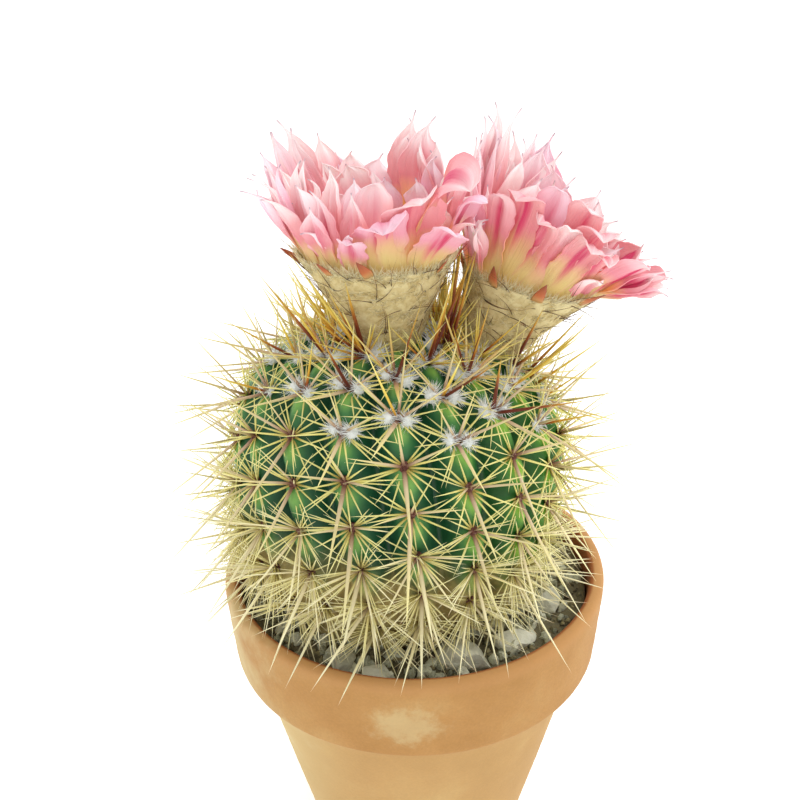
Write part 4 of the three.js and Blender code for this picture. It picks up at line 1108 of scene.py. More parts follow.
wool_rows, tuft_rows = [], []
chance = random.Random(5)
for areole in areoles:
    amount = (1 - float(smooth(WOOL_FADES, WOOL_ENDS, areole["length"]))) * chance.uniform(0.6, 1.1)
    amount *= 1 - 0.6 * float(smooth(*WOOL_THINS, abs(areole["place"][0] - WOOL_MIDDLE)))
    if amount < LEAST_WOOL:
        continue
    for hand in (-1, 1):
        lobe_size = (1.8 + 2.2 * min(amount, 1)) * chance.uniform(0.75, 1.15)
        middle = (areole["place"] + areole["side"] * hand * (0.8 + lobe_size * 0.62)
                  - areole["down"] * chance.uniform(-0.6, 1.0) + areole["out"] * 0.5)
        # Each lobe's core gets a low tone, a greyer white, as painted shade in the middle of the tuft
        tuft_rows.append({"place": middle, "aim": areole["out"], "lean": areole["down"],
                          "width": lobe_size * 0.5, "length": lobe_size * 0.6, "tone": 0.2})
        for _ in range(int(WOOL_HAIRS * min(0.3 + amount * 0.7, 1.0))):
            way = unit([chance.gauss(0, 1), chance.gauss(0, 1.1), chance.uniform(-0.1, 1.2)])
            aim = areole["side"] * way[0] + areole["down"] * way[1] + areole["out"] * way[2]
            lean = areole["side"] * chance.gauss(0, 1) + areole["down"] * chance.gauss(0, 1)
            wool_rows.append({"place": middle + aim * lobe_size * 0.12, "aim": aim, "lean": lean,
                              "length": lobe_size * chance.uniform(0.75, 1.4), "width": WOOL_HAIR_HALF_WIDTH,
                              "tone": chance.random()})
wool = grown("areole_wool", point_piece("wool_points", wool_rows), needles, {
    "Sides": 3, "Rings": 2, "Bend": 7.0, "Fullness": 2.5, "Flatness": 1.0, "Material": wool_hair,
})
finish_piece(wool, None, "cactus_skin")
tufts = grown("wool_tufts", point_piece("tuft_points", tuft_rows), pads,
              {"Height": 0.8, "Material": wool_hair})
finish_piece(tufts, None, "cactus_skin")

# Flower tubes
# Each flower stands on a funnel of green flesh that grows from the crown. Nothing of the flesh shows: it is
# wrapped in dense cream wool, with small red-brown scales at its mouth and long brown bristles over it.

TUBE_SIDES = 96
TUBE_ROWS = 46
LUMP_SPACING = 7.0
LUMP_JITTER = 1.7
LUMP_RISE = 0.4
CREASE_WIDTH = 5.0
FELT_HAIRS = 4200
FRINGE_HAIRS = 1400
BRISTLES = 96
SCALES = 8
FELT_HAIR_HALF_WIDTH = 0.07
FRINGE_HAIR_HALF_WIDTH = 0.085
BRISTLE_HALF_WIDTH = 0.1


def wool_lumps(bloom):
    """The middles of the woolly lumps, one in each scale's axil, spaced round the funnel in rows."""
    chance = random.Random(bloom["seed"] + 5)
    middles, height, row = [], -1.0, 0
    while height < bloom["height"] + 2:
        radius = wall_radius(bloom["outside"], height)
        count = max(int(2 * math.pi * radius / LUMP_SPACING), 5)
        for i in range(count):
            turn = 2 * math.pi * (i + 0.5 * row) / count + chance.gauss(0, LUMP_JITTER) / radius
            middles.append(bloom_point(bloom, radius, turn, height + chance.gauss(0, LUMP_JITTER)))
        height += LUMP_SPACING * 0.8
        row += 1
    return np.array(middles)


def lump_share(middles, place):
    """0 in a crease between two lumps, and 1 on a lump."""
    reach = np.sort(np.linalg.norm(middles - place, axis=1))
    return float(smooth(0, CREASE_WIDTH, reach[1] - reach[0]))


def tube_piece(bloom):
    """The woolly funnel, which swells into lumps where the scales and their wool grow."""
    heights = np.linspace(-2.2, bloom["height"] - 0.3, TUBE_ROWS)
    rows = [(0.02, -2.4)] + [(wall_radius(bloom["outside"], height), height) for height in heights]
    rows += [(bloom["rim_radius"] - 0.4, bloom["height"])]
    rows += [tuple(point) for point in bloom["inside"]]
    middles = wool_lumps(bloom)
    points, tones = [], []
    for k, (radius, height) in enumerate(rows):
        angles = np.linspace(0, 2 * math.pi, TUBE_SIDES, endpoint=False)
        centre = bloom_point(bloom, 0, 0, height)
        for point in bloom_point(bloom, radius, angles, height):
            lump = lump_share(middles, point)
            rise = LUMP_RISE * (lump - 0.7) if 0 < k <= TUBE_ROWS else 0.0
            rise += noise.noise(Vector(point) * 0.5) * 0.35 if k else 0.0
            points.append(centre + (point - centre) * (1 + (rise / radius if radius > 4 else 0)))
            # The tone is lower in the creases between lumps, and raised on the right bloom's tube as painted
            # light against the shade it stands in
            tones.append(lump + bloom["tube_painted_lighter"])
    faces = turned_faces(len(rows), TUBE_SIDES)
    return piece_of(bloom["name"] + "_woolly_tube", points, faces, {"tone": tones})


# Matted cream wool over the tube: dull, a little darker between the lumps, paler on the right bloom's tube as
# painted light, with fibres running every way
tube_wool, tree, shader = new_material("cream_tube_wool", 0.95)
coordinates = add(tree, "ShaderNodeTexCoord").outputs["Object"]
fibres = add(tree, "ShaderNodeTexNoise", {},
             {"Vector": coordinates, "Scale": 420, "Detail": 5, "Roughness": 0.6, "Distortion": 1.0})
tone = add(tree, "ShaderNodeAttribute", {"attribute_name": "tone"})
mixed = add(tree, "ShaderNodeMath", {"operation": "MULTIPLY_ADD"},
            {0: tone.outputs["Fac"], 1: 0.13, 2: fibres.outputs["Fac"]})
colour = add(tree, "ShaderNodeValToRGB", {"stops": [(0.34, "#b8a066"), (0.55, "#d2bf88"), (0.8, "#e4d6a4")]},
             {"Fac": mixed})
tree.links.new(colour.outputs["Color"], shader.inputs["Base Color"])
bump = add(tree, "ShaderNodeBump", {}, {"Height": fibres.outputs["Fac"], "Strength": 0.5, "Distance": 0.0006})
tree.links.new(bump.outputs["Normal"], shader.inputs["Normal"])

# Single wool hairs on the tube: paler than the mat, soft and dull
tube_hair, tree, shader = new_material("cream_tube_hair", 0.9)
tone = add(tree, "ShaderNodeAttribute", {"attribute_name": "tone"})
colour = add(tree, "ShaderNodeValToRGB", {"stops": [(0.0, "#d2bf86"), (0.5, "#e3d5a2"), (1.0, "#f2e9c4")]},
             {"Fac": tone.outputs["Fac"]})
tree.links.new(colour.outputs["Color"], shader.inputs["Base Color"])

# Bristles: thin and stiff like horse hair, dark brown at the root, lighter at the tip
bristle_horn, tree, shader = new_material("brown_bristle", 0.5)
along = add(tree, "ShaderNodeAttribute", {"attribute_name": "along"})
colour = add(tree, "ShaderNodeValToRGB", {"stops": [(0.0, "#3a2213"), (0.5, "#6b4222"), (1.0, "#a0733a")]},
             {"Fac": along.outputs["Fac"]})
tree.links.new(colour.outputs["Color"], shader.inputs["Base Color"])

# Scales: dry little leaves, red-brown with an orange edge
scale_skin, tree, shader = new_material("red_brown_scale", 0.6)
along = add(tree, "ShaderNodeAttribute", {"attribute_name": "along"})
colour = add(tree, "ShaderNodeValToRGB", {"stops": [(0.0, "#cfa468"), (0.35, "#c0693e"), (1.0, "#8a4230")]},
             {"Fac": along.outputs["Fac"]})
tree.links.new(colour.outputs["Color"], shader.inputs["Base Color"])


def tube_row(bloom, chance, height, angle, turn, lift, sink, length, width):
    """A hair or bristle on a funnel, turned from straight up it and lifted off its wall."""
    radius = wall_radius(bloom["outside"], height)
    place = bloom_point(bloom, radius - sink, angle, height)
    out = unit(place - bloom_point(bloom, 0, angle, height))
    above = bloom_point(bloom, wall_radius(bloom["outside"], height + 0.5) - sink, angle, height + 0.5)
    up = unit(above - place)
    if height > bloom["height"] - 1:
        up = unit(bloom["axes"][2] + out * 0.6)
    side = np.cross(out, up)
    aim = unit(up * math.cos(turn) + side * math.sin(turn) + out * lift)
    return {"place": place, "aim": aim, "lean": side * chance.gauss(0, 1) - out * 0.7, "length": length,
            "width": width, "tone": chance.random()}


for bloom in BLOOMS:
    tube = tube_piece(bloom)
    finish_piece(tube, tube_wool, "flower_wool", bloom["name"] + "_tube")
    chance = random.Random(bloom["seed"])
    hair_rows = []
    for _ in range(FELT_HAIRS):
        height, angle = bloom["height"] * chance.random() ** 0.75, chance.uniform(0, 6.283)
        turn, lift = chance.uniform(-2.6, 2.6), chance.uniform(0.0, 0.28)
        length = chance.uniform(1.6, 3.6)
        row = tube_row(bloom, chance, height, angle, turn, lift, 0.2, length, FELT_HAIR_HALF_WIDTH)
        hair_rows.append(row)
    for _ in range(FRINGE_HAIRS):
        angle = chance.uniform(0, 6.283)
        clump = 0.5 + 0.5 * math.sin(angle * 9 + 2 * math.sin(angle * 4 + bloom["seed"]))
        height = bloom["height"] - chance.uniform(0, 2.5)
        turn, lift = chance.gauss(0, 0.6), chance.uniform(-0.05, 0.3)
        length = chance.uniform(2.2, 3.6) + 3.6 * clump * chance.random()
        row = tube_row(bloom, chance, height, angle, turn, lift, 0.3, length, FRINGE_HAIR_HALF_WIDTH)
        # Painted light: the fringe hairs get pale tones to offset the shade they cast on one another
        row["tone"] = chance.uniform(0.6, 1.0)
        hair_rows.append(row)
    hairs = grown(bloom["name"] + "_tube_hairs", point_piece("hair_points", hair_rows), needles, {
        "Sides": 3, "Rings": 2, "Bend": 11.0, "Fullness": 2.5, "Flatness": 1.0, "Material": tube_hair,
    })
    finish_piece(hairs, None, "flower_wool")
    bristle_rows = []
    for i in range(BRISTLES):
        share = 0.1 + 0.88 * ((i + 0.5) / BRISTLES) ** 0.6
        angle = (i // 3) * math.pi * (3 - math.sqrt(5)) + chance.uniform(-0.1, 0.1)
        height = bloom["height"] * share
        turn, lift = chance.choice((-1, 1)) * chance.uniform(0.2, 1.5), chance.uniform(0.1, 0.34)
        length = chance.uniform(7, 16)
        row = tube_row(bloom, chance, height, angle, turn, lift, 0.4, length, BRISTLE_HALF_WIDTH)
        row["lean"] = np.cross(row["aim"], row["place"] - bloom_point(bloom, 0, 0, height))
        row["lean"] = unit(row["lean"]) * chance.choice((-1, 1)) + row["aim"] * 0.1
        bristle_rows.append(row)
    bristles = grown(bloom["name"] + "_bristles", point_piece("bristle_points", bristle_rows), needles, {
        "Sides": 4, "Rings": 9, "Bend": 40.0, "Fullness": 1.8, "Flatness": 1.0, "Material": bristle_horn,
    })
    finish_piece(bristles, None, "flower_wool")
    scale_rows = []
    for i in range(SCALES):
        angle = 2 * math.pi * (i + chance.uniform(-0.25, 0.25)) / SCALES
        row = tube_row(bloom, chance, bloom["height"] - chance.uniform(0.2, 1.2), angle, chance.gauss(0, 0.2),
                       0.2, 0.1, chance.uniform(5, 8), chance.uniform(1.0, 1.6))
        row["lean"] = row["place"] - bloom_point(bloom, 0, 0, bloom["height"])
        scale_rows.append(row)
    scales = grown(bloom["name"] + "_scales", point_piece("scale_points", scale_rows), needles, {
        "Sides": 8, "Rings": 6, "Bend": 0.6, "Fullness": 1.8, "Flatness": 0.25, "Material": scale_skin,
    })
    finish_piece(scales, None, "flower_wool")

# Stamens and pistils
# A dense ring of thin yellow filaments with powdery anthers lines the funnel's mouth. The pistil stands in
# its middle, on the funnel's floor: a cream style with a star of lobes.

STAMEN_RINGS = 3
STAMENS_PER_RING = 26
STIGMA_LOBES = 9
FILAMENT_HALF_WIDTH = 0.16
ANTHER_HALF_WIDTH = 0.42
ANTHER_LENGTH = 1.3
STYLE_HALF_WIDTH = 1.1
LOBE_HALF_WIDTH = 0.5
LOBE_LENGTH = 4.2

# Stamens: moist, deep yellow, the anthers powdery with pollen
stamen_flesh, tree, shader = new_material("yellow_stamens", 0.65)
along = add(tree, "ShaderNodeAttribute", {"attribute_name": "along"})
colour = add(tree, "ShaderNodeValToRGB", {"stops": [(0.0, "#d98f3a"), (0.6, "#ecb955"), (1.0, "#f5dd86")]},
             {"Fac": along.outputs["Fac"]})
tree.links.new(colour.outputs["Color"], shader.inputs["Base Color"])
# Style and lobes: smooth and moist, cream to pale yellow
pistil_flesh, tree, shader = new_material("cream_pistil", 0.5, Subsurface_Weight=0.1, Subsurface_Scale=0.002)
along = add(tree, "ShaderNodeAttribute", {"attribute_name": "along"})
colour = add(tree, "ShaderNodeValToRGB", {"stops": [(0.0, "#e6cf92"), (1.0, "#f1e0b0")]},
             {"Fac": along.outputs["Fac"]})
tree.links.new(colour.outputs["Color"], shader.inputs["Base Color"])


def stamen_rows(bloom):
    """Filaments from the funnel's wall that lean in over the pistil, and a short stout anther on each."""
    chance = random.Random(bloom["seed"] + 2)
    filaments, anthers = [], []
    for ring in range(STAMEN_RINGS):
        for i in range(STAMENS_PER_RING):
            angle = (i + ring / STAMEN_RINGS) / STAMENS_PER_RING * 2 * math.pi + chance.uniform(-0.06, 0.06)
            low = bloom["height"] * (0.5 + 0.08 * ring)
            radius = wall_radius(bloom["inside"], low) - 0.8
            root = bloom_point(bloom, radius, angle, low)
            top = bloom_point(bloom, radius * (0.42 + 0.16 * ring) + chance.uniform(-0.6, 0.6), angle + 0.1,
                              bloom["height"] + 0.5 + 1.6 * ring + chance.uniform(-0.8, 0.8))
            run = unit(top - root)
            inward = unit(bloom_point(bloom, 0, 0, low) - root)
            filaments.append({"place": root, "aim": run, "lean": inward, "length": np.linalg.norm(top - root),
                              "width": FILAMENT_HALF_WIDTH, "tone": chance.random()})
            anthers.append({"place": top - run * 0.3, "aim": unit(run + inward), "lean": inward,
                            "length": ANTHER_LENGTH, "width": ANTHER_HALF_WIDTH, "tone": chance.random()})
    return filaments, anthers


def joined_piece(name, pieces):
    """Several plain mesh pieces as one."""
    with bpy.context.temp_override(active_object=pieces[0], object=pieces[0], selected_objects=pieces,
                                   selected_editable_objects=pieces):
        bpy.ops.object.join()
    pieces[0].name = name
    return pieces[0]


for bloom in BLOOMS:
    filaments, anthers = stamen_rows(bloom)
    threads = grown("threads", point_piece("thread_points", filaments), needles, {
        "Sides": 4, "Rings": 3, "Bend": 0.0, "Fullness": 6.0, "Flatness": 1.0, "Material": stamen_flesh,
    })
    knobs = grown("knobs", point_piece("knob_points", anthers), needles, {
        "Sides": 6, "Rings": 4, "Bend": 0.0, "Fullness": 4.0, "Flatness": 0.7, "Material": stamen_flesh,
    })
    stamens = joined_piece(bloom["name"] + "_stamen_ring", [threads, knobs])
    finish_piece(stamens, None, "stamens", bloom["name"] + "_stamens")
    middle = bloom_point(bloom, 0, 0, TUBE_FLOOR + 0.6)
    top = bloom_point(bloom, 0, 0, bloom["height"] + 3)
    style_rows = [{"place": middle, "aim": unit(top - middle), "lean": (1, 0, 0), "width": STYLE_HALF_WIDTH,
                   "length": np.linalg.norm(top - middle)}]
    lobe_rows = []
    for i in range(STIGMA_LOBES):
        angle = 2 * math.pi * i / STIGMA_LOBES
        way = unit(bloom_point(bloom, 3.4, angle, 2.6) - bloom_point(bloom, 0, 0, 0))
        lobe_rows.append({"place": top - unit(top - middle) * 1.2, "aim": way, "lean": unit(middle - top),
                          "length": LOBE_LENGTH, "width": LOBE_HALF_WIDTH})
    style = grown("style", point_piece("style_points", style_rows), needles, {
        "Sides": 16, "Rings": 10, "Bend": 0.0, "Fullness": 12.0, "Flatness": 1.0, "Material": pistil_flesh,
    })
    lobes = grown("lobes", point_piece("lobe_points", lobe_rows), needles, {
        "Sides": 8, "Rings": 6, "Bend": 1.5, "Fullness": 3.0, "Flatness": 0.8, "Material": pistil_flesh,
    })
    pistil = joined_piece(bloom["name"] + "_style_and_lobes", [style, lobes])
    finish_piece(pistil, None, "pistil", bloom["name"] + "_pistil")

# Petals
# Thin, silky and half see-through, overlapping in several rows, and a day or two old, so that many are
# pleated, folded over or curled. They are cream-yellow where they leave the funnel, orange inside, pink
# above and nearly white at their ragged, drawn-out tips, with deeper pink along their folds.

PETAL_ROWS = 28
PETAL_COLUMNS = 11
PETAL_HALF_THICKNESS = 0.13
FOLD_STEPS = 12
AWN_HALF_WIDTH = 0.28
AWN_CURL = 1.5
AWN_START = 0.93
VEIN_DEPTH = 0.6
SHARP_EDGE = 55

# Petals that the eye can tell apart: the angle they leave the funnel at, in degrees from the right, the place
# of their tip or fold (x, y, z), their width, how far their end bends out, how much length is folded over
# past the tip and by how many degrees, and how deep their pink is
OPEN_PETALS = {
    "left": [
        (185, -36.3, -4, 211.4, 6.8, 0.1, 0, 0, 0.3), (165, -36.3, 4, 214.5, 6.1, 0.0, 0, 0, 0.2),
        (145, -34.5, 10, 218.3, 6.1, -0.1, 0, 0, 0.1), (128, -30.3, 14, 218.5, 6.8, -0.1, 0, 0, 0.1),
        (112, -23.5, 18, 215.2, 7.6, 0.0, 0, 0, 0.2), (98, -16.2, 20, 211.3, 12, 0.2, 0, 0, 0.2),
        (85, -8.5, 20, 208.8, 13, 0.3, 0, 0, 0.2), (62, 0.8, 18, 219.4, 12, -0.1, 0, 0, 0.4),
        (48, 4.6, 15, 219.2, 12, 0.2, 0, 0, 0.5), (32, 8.2, 10, 215.2, 11, 0.1, 0, 0, 0.4),
        (12, 11.9, 2, 211.9, 8, 0.1, 0, 0, 0.8), (350, 14.9, -6, 207.6, 11, 0.3, 3, 60, 0.3),
        (205, -32.5, -12, 214.8, 6.8, 0.1, 0, 0, 0.3), (215, -33.4, -16, 208.5, 6.1, 0.3, 0, 0, 0.4),
        (232, -23.1, -24, 206.9, 6.8, 0.5, 0, 0, 0.7), (240, -21.2, -20, 210.2, 6.8, 0.3, 0, 0, 0.6),
        (255, -13.1, -22, 210.0, 7.6, 0.4, 0, 0, 0.6), (226, -26.0, -15, 211.0, 6.8, 0.2, 0, 0, 0.4),
        (235, -18.0, -10, 213.5, 7.6, 0.1, 0, 0, 0.2), (215, -25.3, -8, 215.5, 6.8, 0.0, 0, 0, 0.2),
        (250, -12.5, -12, 212.0, 8.4, 0.2, 0, 0, 0.2), (262, -8.0, -16, 209.0, 9.1, 0.3, 2, 50, 0.3),
        (272, -5.7, -28.5, 204.9, 12, 0.6, 5, 130, 0.9), (294, 1.6, -25, 208.6, 17, 0.3, 4, 110, 0.7),
        (322, 8.6, -18, 211.6, 16, 0.5, 9, 130, 0.9), (340, 14.6, -12, 204.9, 12, 0.5, 5, 100, 0.8),
        (306, 9.4, -26, 201.5, 11, 0.5, 3, 90, 1.0), (332, 13.2, -14, 199.0, 9, 0.4, 3, 60, 0.9),
        (345, 14.0, -6, 203.0, 8, 0.3, 0, 0, 0.5), (254, -13.5, -28.5, 200.5, 6.8, 0.7, 2, 80, 0.8),
    ],
    "right": [
        (178, 17.8, 8, 216.8, 9, -0.1, 0, 0, 0.6), (165, 21.2, 14, 219.5, 10, -0.1, 0, 0, 0.5),
        (150, 24.7, 18, 222.5, 9, 0.0, 0, 0, 0.2), (196, 15.6, 0, 209.2, 9, 0.2, 0, 0, 1.0),
        (128, 29.6, 24, 212.6, 14, 0.1, 0, 0, 0.2), (110, 34.3, 26, 212.9, 14, 0.0, 0, 0, 0.3),
        (98, 37.8, 26, 212.3, 14, 0.0, 0, 0, 0.4), (82, 40.2, 22, 205.3, 14, 0.2, 0, 0, 0.4),
        (62, 51.8, 22, 197.0, 11, 0.0, 0, 0, 0.1), (48, 54.0, 18, 191.0, 12, 0.1, 0, 0, 0.2),
        (35, 57.4, 14, 186.6, 11, 0.1, 0, 0, 0.8), (18, 62.7, 8, 186.7, 11, 0.0, 0, 0, 2.0),
        (0, 67.6, 0, 181.4, 11, 0.0, 0, 0, 2.2), (340, 63.5, -6, 184.0, 10, 0.1, 0, 0, 2.1),
        (322, 57.5, -9, 186.0, 11, 0.2, 2, 60, 1.9), (230, 28.4, -11, 204.4, 10, 0.4, 6, 120, 1.0),
        (248, 36.1, -9, 205.4, 11, 0.3, 2, 70, 0.6), (268, 42.7, -12, 201.0, 10, 0.3, 4, 90, 0.9),
        (285, 45.0, -15, 196.8, 10, 0.4, 5, 110, 1.0), (303, 46.8, -14, 190.6, 9, 0.5, 4, 120, 0.9),
        (258, 39.0, -2, 204.0, 12, 0.1, 0, 0, 0.4), (278, 46.5, -5, 199.0, 12, 0.1, 0, 0, 0.4),
        (240, 32.0, 0, 207.5, 12, 0.1, 0, 0, 0.4), (312, 52.0, -8, 190.5, 11, 0.2, 0, 0, 0.6),
        (238, 32.5, -13, 199.5, 9, 0.5, 4, 120, 1.0), (276, 43.0, -17, 194.5, 8, 0.5, 4, 110, 1.0),
        (259, 38.5, -15, 198.0, 8, 0.4, 3, 100, 0.3), (218, 22.5, -8, 204.0, 9, 0.3, 3, 90, 0.9),
        (186, 13.2, -2, 203.0, 9, 0.2, 0, 0, 0.3), (204, 16.5, -7, 200.0, 9, 0.3, 0, 0, 0.5),
    ],
}
EXTRA_PETALS = 2
# Rows that fill each bloom behind those: number, length, width, distance from the wall, opening in radians
FILLING_ROWS = [(10, 25, 8, 0.3, 0.5), (11, 24, 8, 1.4, 0.36), (9, 21, 8, 2.6, 0.2)]

# Petal tissue: silky, with a faint sheen, and a painted glow of its own colour that stands in for light
# coming through
petal_silk, tree, shader = new_material(
    "silky_petal_painted_glow", 0.55, Subsurface_Weight=0.1, Subsurface_Scale=0.002, IOR=1.35, Emission_Strength=0.13)
shader.inputs["Subsurface Radius"].default_value = (1.0, 0.6, 0.55)
along = add(tree, "ShaderNodeAttribute", {"attribute_name": "along"})
across = add(tree, "ShaderNodeAttribute", {"attribute_name": "across"})
tone = add(tree, "ShaderNodeAttribute", {"attribute_name": "tone"})
deep = add(tree, "ShaderNodeAttribute", {"attribute_name": "deep"})
inner_face = add(tree, "ShaderNodeAttribute", {"attribute_name": "inner"})
wander = add(tree, "ShaderNodeTexNoise", {},
             {"Vector": add(tree, "ShaderNodeTexCoord").outputs["Object"], "Scale": 130, "Detail": 3})
wandering = add(tree, "ShaderNodeMath", {"operation": "MULTIPLY_ADD"},
                {0: wander.outputs["Fac"], 1: 0.16, 2: along.outputs["Fac"]})
# On the pinker petals the pink reaches nearer to the tip
pink_reach = add(tree, "ShaderNodeMapRange", {},
                 {"Value": deep.outputs["Fac"], "To Min": -0.035, "To Max": -0.22})
along_here = add(tree, "ShaderNodeMath", {"operation": "ADD"}, {0: wandering, 1: pink_reach})
outside_colour = add(tree, "ShaderNodeValToRGB",
                     {"stops": [(0.0, "#ccae66"), (0.17, "#d2b878"), (0.3, "#d9b080"), (0.44, "#df8b90"),
                                (0.6, "#e9a5a7"), (0.74, "#f8d8d8"), (0.87, "#fef6f4")]}, {"Fac": along_here})
inside_colour = add(tree, "ShaderNodeValToRGB",
                    {"stops": [(0.0, "#e89c40"), (0.31, "#f2b868"), (0.42, "#f2b08c"), (0.52, "#e49197"),
                               (0.68, "#ebafb3"), (0.84, "#fcebea")]}, {"Fac": along_here})
faced = add(tree, "ShaderNodeMix", {"data_type": "RGBA"},
            {"Factor": inner_face.outputs["Fac"], "A": outside_colour, "B": inside_colour})
streak_place = add(tree, "ShaderNodeCombineXYZ", {},
                   {"X": across.outputs["Fac"], "Y": along.outputs["Fac"], "Z": tone.outputs["Fac"]})
streak_scale = add(tree, "ShaderNodeMapping", {"vector_type": "POINT"},
                   {"Vector": streak_place, "Scale": (2.6, 1.2, 40.0)})
streaks = add(tree, "ShaderNodeTexNoise", {},
              {"Vector": streak_scale, "Scale": 1.0, "Detail": 3, "Roughness": 0.55})
streak_share = add(tree, "ShaderNodeMapRange", {"interpolation_type": "SMOOTHSTEP"},
                   {"Value": streaks.outputs["Fac"], "From Min": 0.35, "From Max": 0.6,
                    "To Min": 0.22, "To Max": 1.0})
beside_keel = add(tree, "ShaderNodeMath", {"operation": "ABSOLUTE"}, {0: across.outputs["Fac"]})
keel = add(tree, "ShaderNodeMapRange", {"interpolation_type": "SMOOTHSTEP"},
           {"Value": beside_keel, "From Min": 0.05, "From Max": 0.55, "To Min": 1.0, "To Max": 0.12})
belt = add(tree, "ShaderNodeValToRGB", {"stops": [(0.22, "#000000"), (0.5, "#ffffff"), (0.72, "#ffffff"),
                                                  (0.92, "#202020")]}, {"Fac": along.outputs["Fac"]})
in_belt = add(tree, "ShaderNodeMath", {"operation": "MULTIPLY"}, {0: streak_share, 1: belt})
on_keel = add(tree, "ShaderNodeMath", {"operation": "MULTIPLY"}, {0: in_belt, 1: keel})
streak_mask = add(tree, "ShaderNodeMath", {"operation": "MULTIPLY"}, {0: on_keel, 1: deep.outputs["Fac"]})
# A few petals turn lilac above their feet as they age
lilac = add(tree, "ShaderNodeMapRange", {}, {"Value": tone.outputs["Fac"], "From Min": 0.55, "To Max": 0.5})
above_foot = add(tree, "ShaderNodeMapRange", {"interpolation_type": "SMOOTHSTEP"},
                 {"Value": along.outputs["Fac"], "From Min": 0.35, "From Max": 0.7})
lilac_share = add(tree, "ShaderNodeMath", {"operation": "MULTIPLY"}, {0: lilac, 1: above_foot})
lilac_touched = add(tree, "ShaderNodeMix", {"data_type": "RGBA"},
                    {"Factor": lilac_share, "A": faced, "B": linear("#e8c0dc")})
pink = add(tree, "ShaderNodeMix", {"data_type": "RGBA"},
           {"Factor": streak_mask, "A": lilac_touched, "B": linear("#cc4068")})
# Painted shade: a darker pink along each petal's edge, where it is seen almost end on
edge_place = add(tree, "ShaderNodeMath", {"operation": "ABSOLUTE"}, {0: across.outputs["Fac"]})
painted_edge_shade = add(tree, "ShaderNodeMapRange", {"interpolation_type": "SMOOTHSTEP"},
                 {"Value": edge_place, "From Min": 0.8, "From Max": 1.0, "To Max": 0.2})
edge_shaded = add(tree, "ShaderNodeMix", {"data_type": "RGBA"},
            {"Factor": painted_edge_shade, "A": pink, "B": linear("#d67f8a")})
# The hair-like tips dry first, to a dull purplish grey
tip_share = add(tree, "ShaderNodeMapRange", {"interpolation_type": "SMOOTHSTEP"},
                {"Value": along.outputs["Fac"], "From Min": 0.95, "From Max": 0.99, "To Max": 0.6})
tipped = add(tree, "ShaderNodeMix", {"data_type": "RGBA"},
             {"Factor": tip_share, "A": edge_shaded, "B": linear("#a8879a")})
tree.links.new(tipped.outputs[2], shader.inputs["Base Color"])
# Painted glow: the petal's colour is also given off as light
tree.links.new(tipped.outputs[2], shader.inputs["Emission Color"])
veins = add(tree, "ShaderNodeMapping", {"vector_type": "POINT"},
            {"Vector": streak_place, "Scale": (13.0, 1.0, 40.0)})
vein_lines = add(tree, "ShaderNodeTexNoise", {}, {"Vector": veins, "Scale": 1.0, "Detail": 2})
bump = add(tree, "ShaderNodeBump", {},
           {"Height": vein_lines.outputs["Fac"], "Strength": 0.5, "Distance": VEIN_DEPTH * MM})
tree.links.new(bump.outputs["Normal"], shader.inputs["Normal"])


def petal_line(start, leave, away, tip, bend, folded, fold_turn, curl):
    """A petal's middle line: along the funnel, up to its tip, and rolled over past it if it is folded."""
    reach = np.linalg.norm(tip - start)
    end_way = unit((tip - start) / reach + away * bend)
    near_start = start + leave * reach * 0.28
    near_tip = tip - end_way * reach * 0.3
    line = []
    for share in np.linspace(0, 1, 40):
        rest = 1 - share
        line.append(rest ** 3 * start + 3 * rest ** 2 * share * near_start + 3 * rest * share ** 2 * near_tip
                    + share ** 3 * tip)
    outward = unit(away - end_way * np.dot(away, end_way))
    for step in range(1, FOLD_STEPS + 1 if folded else 1):
        turn = fold_turn * step / FOLD_STEPS
        line.append(line[-1] + (end_way * math.cos(turn) + outward * math.sin(turn)) * folded / FOLD_STEPS)
    line = np.array(line)
    length = np.concatenate([[0], np.cumsum(np.linalg.norm(np.diff(line, axis=0), axis=1))])
    even = np.linspace(0, length[-1], PETAL_ROWS)
    line = np.stack([np.interp(even, length, line[:, k]) for k in range(3)], 1)
    if not folded:
        line += np.clip(np.linspace(-4, 1, PETAL_ROWS), 0, 1)[:, None] ** 2 * curl
    return np.clip(line, REACH_LOW, REACH_HIGH)


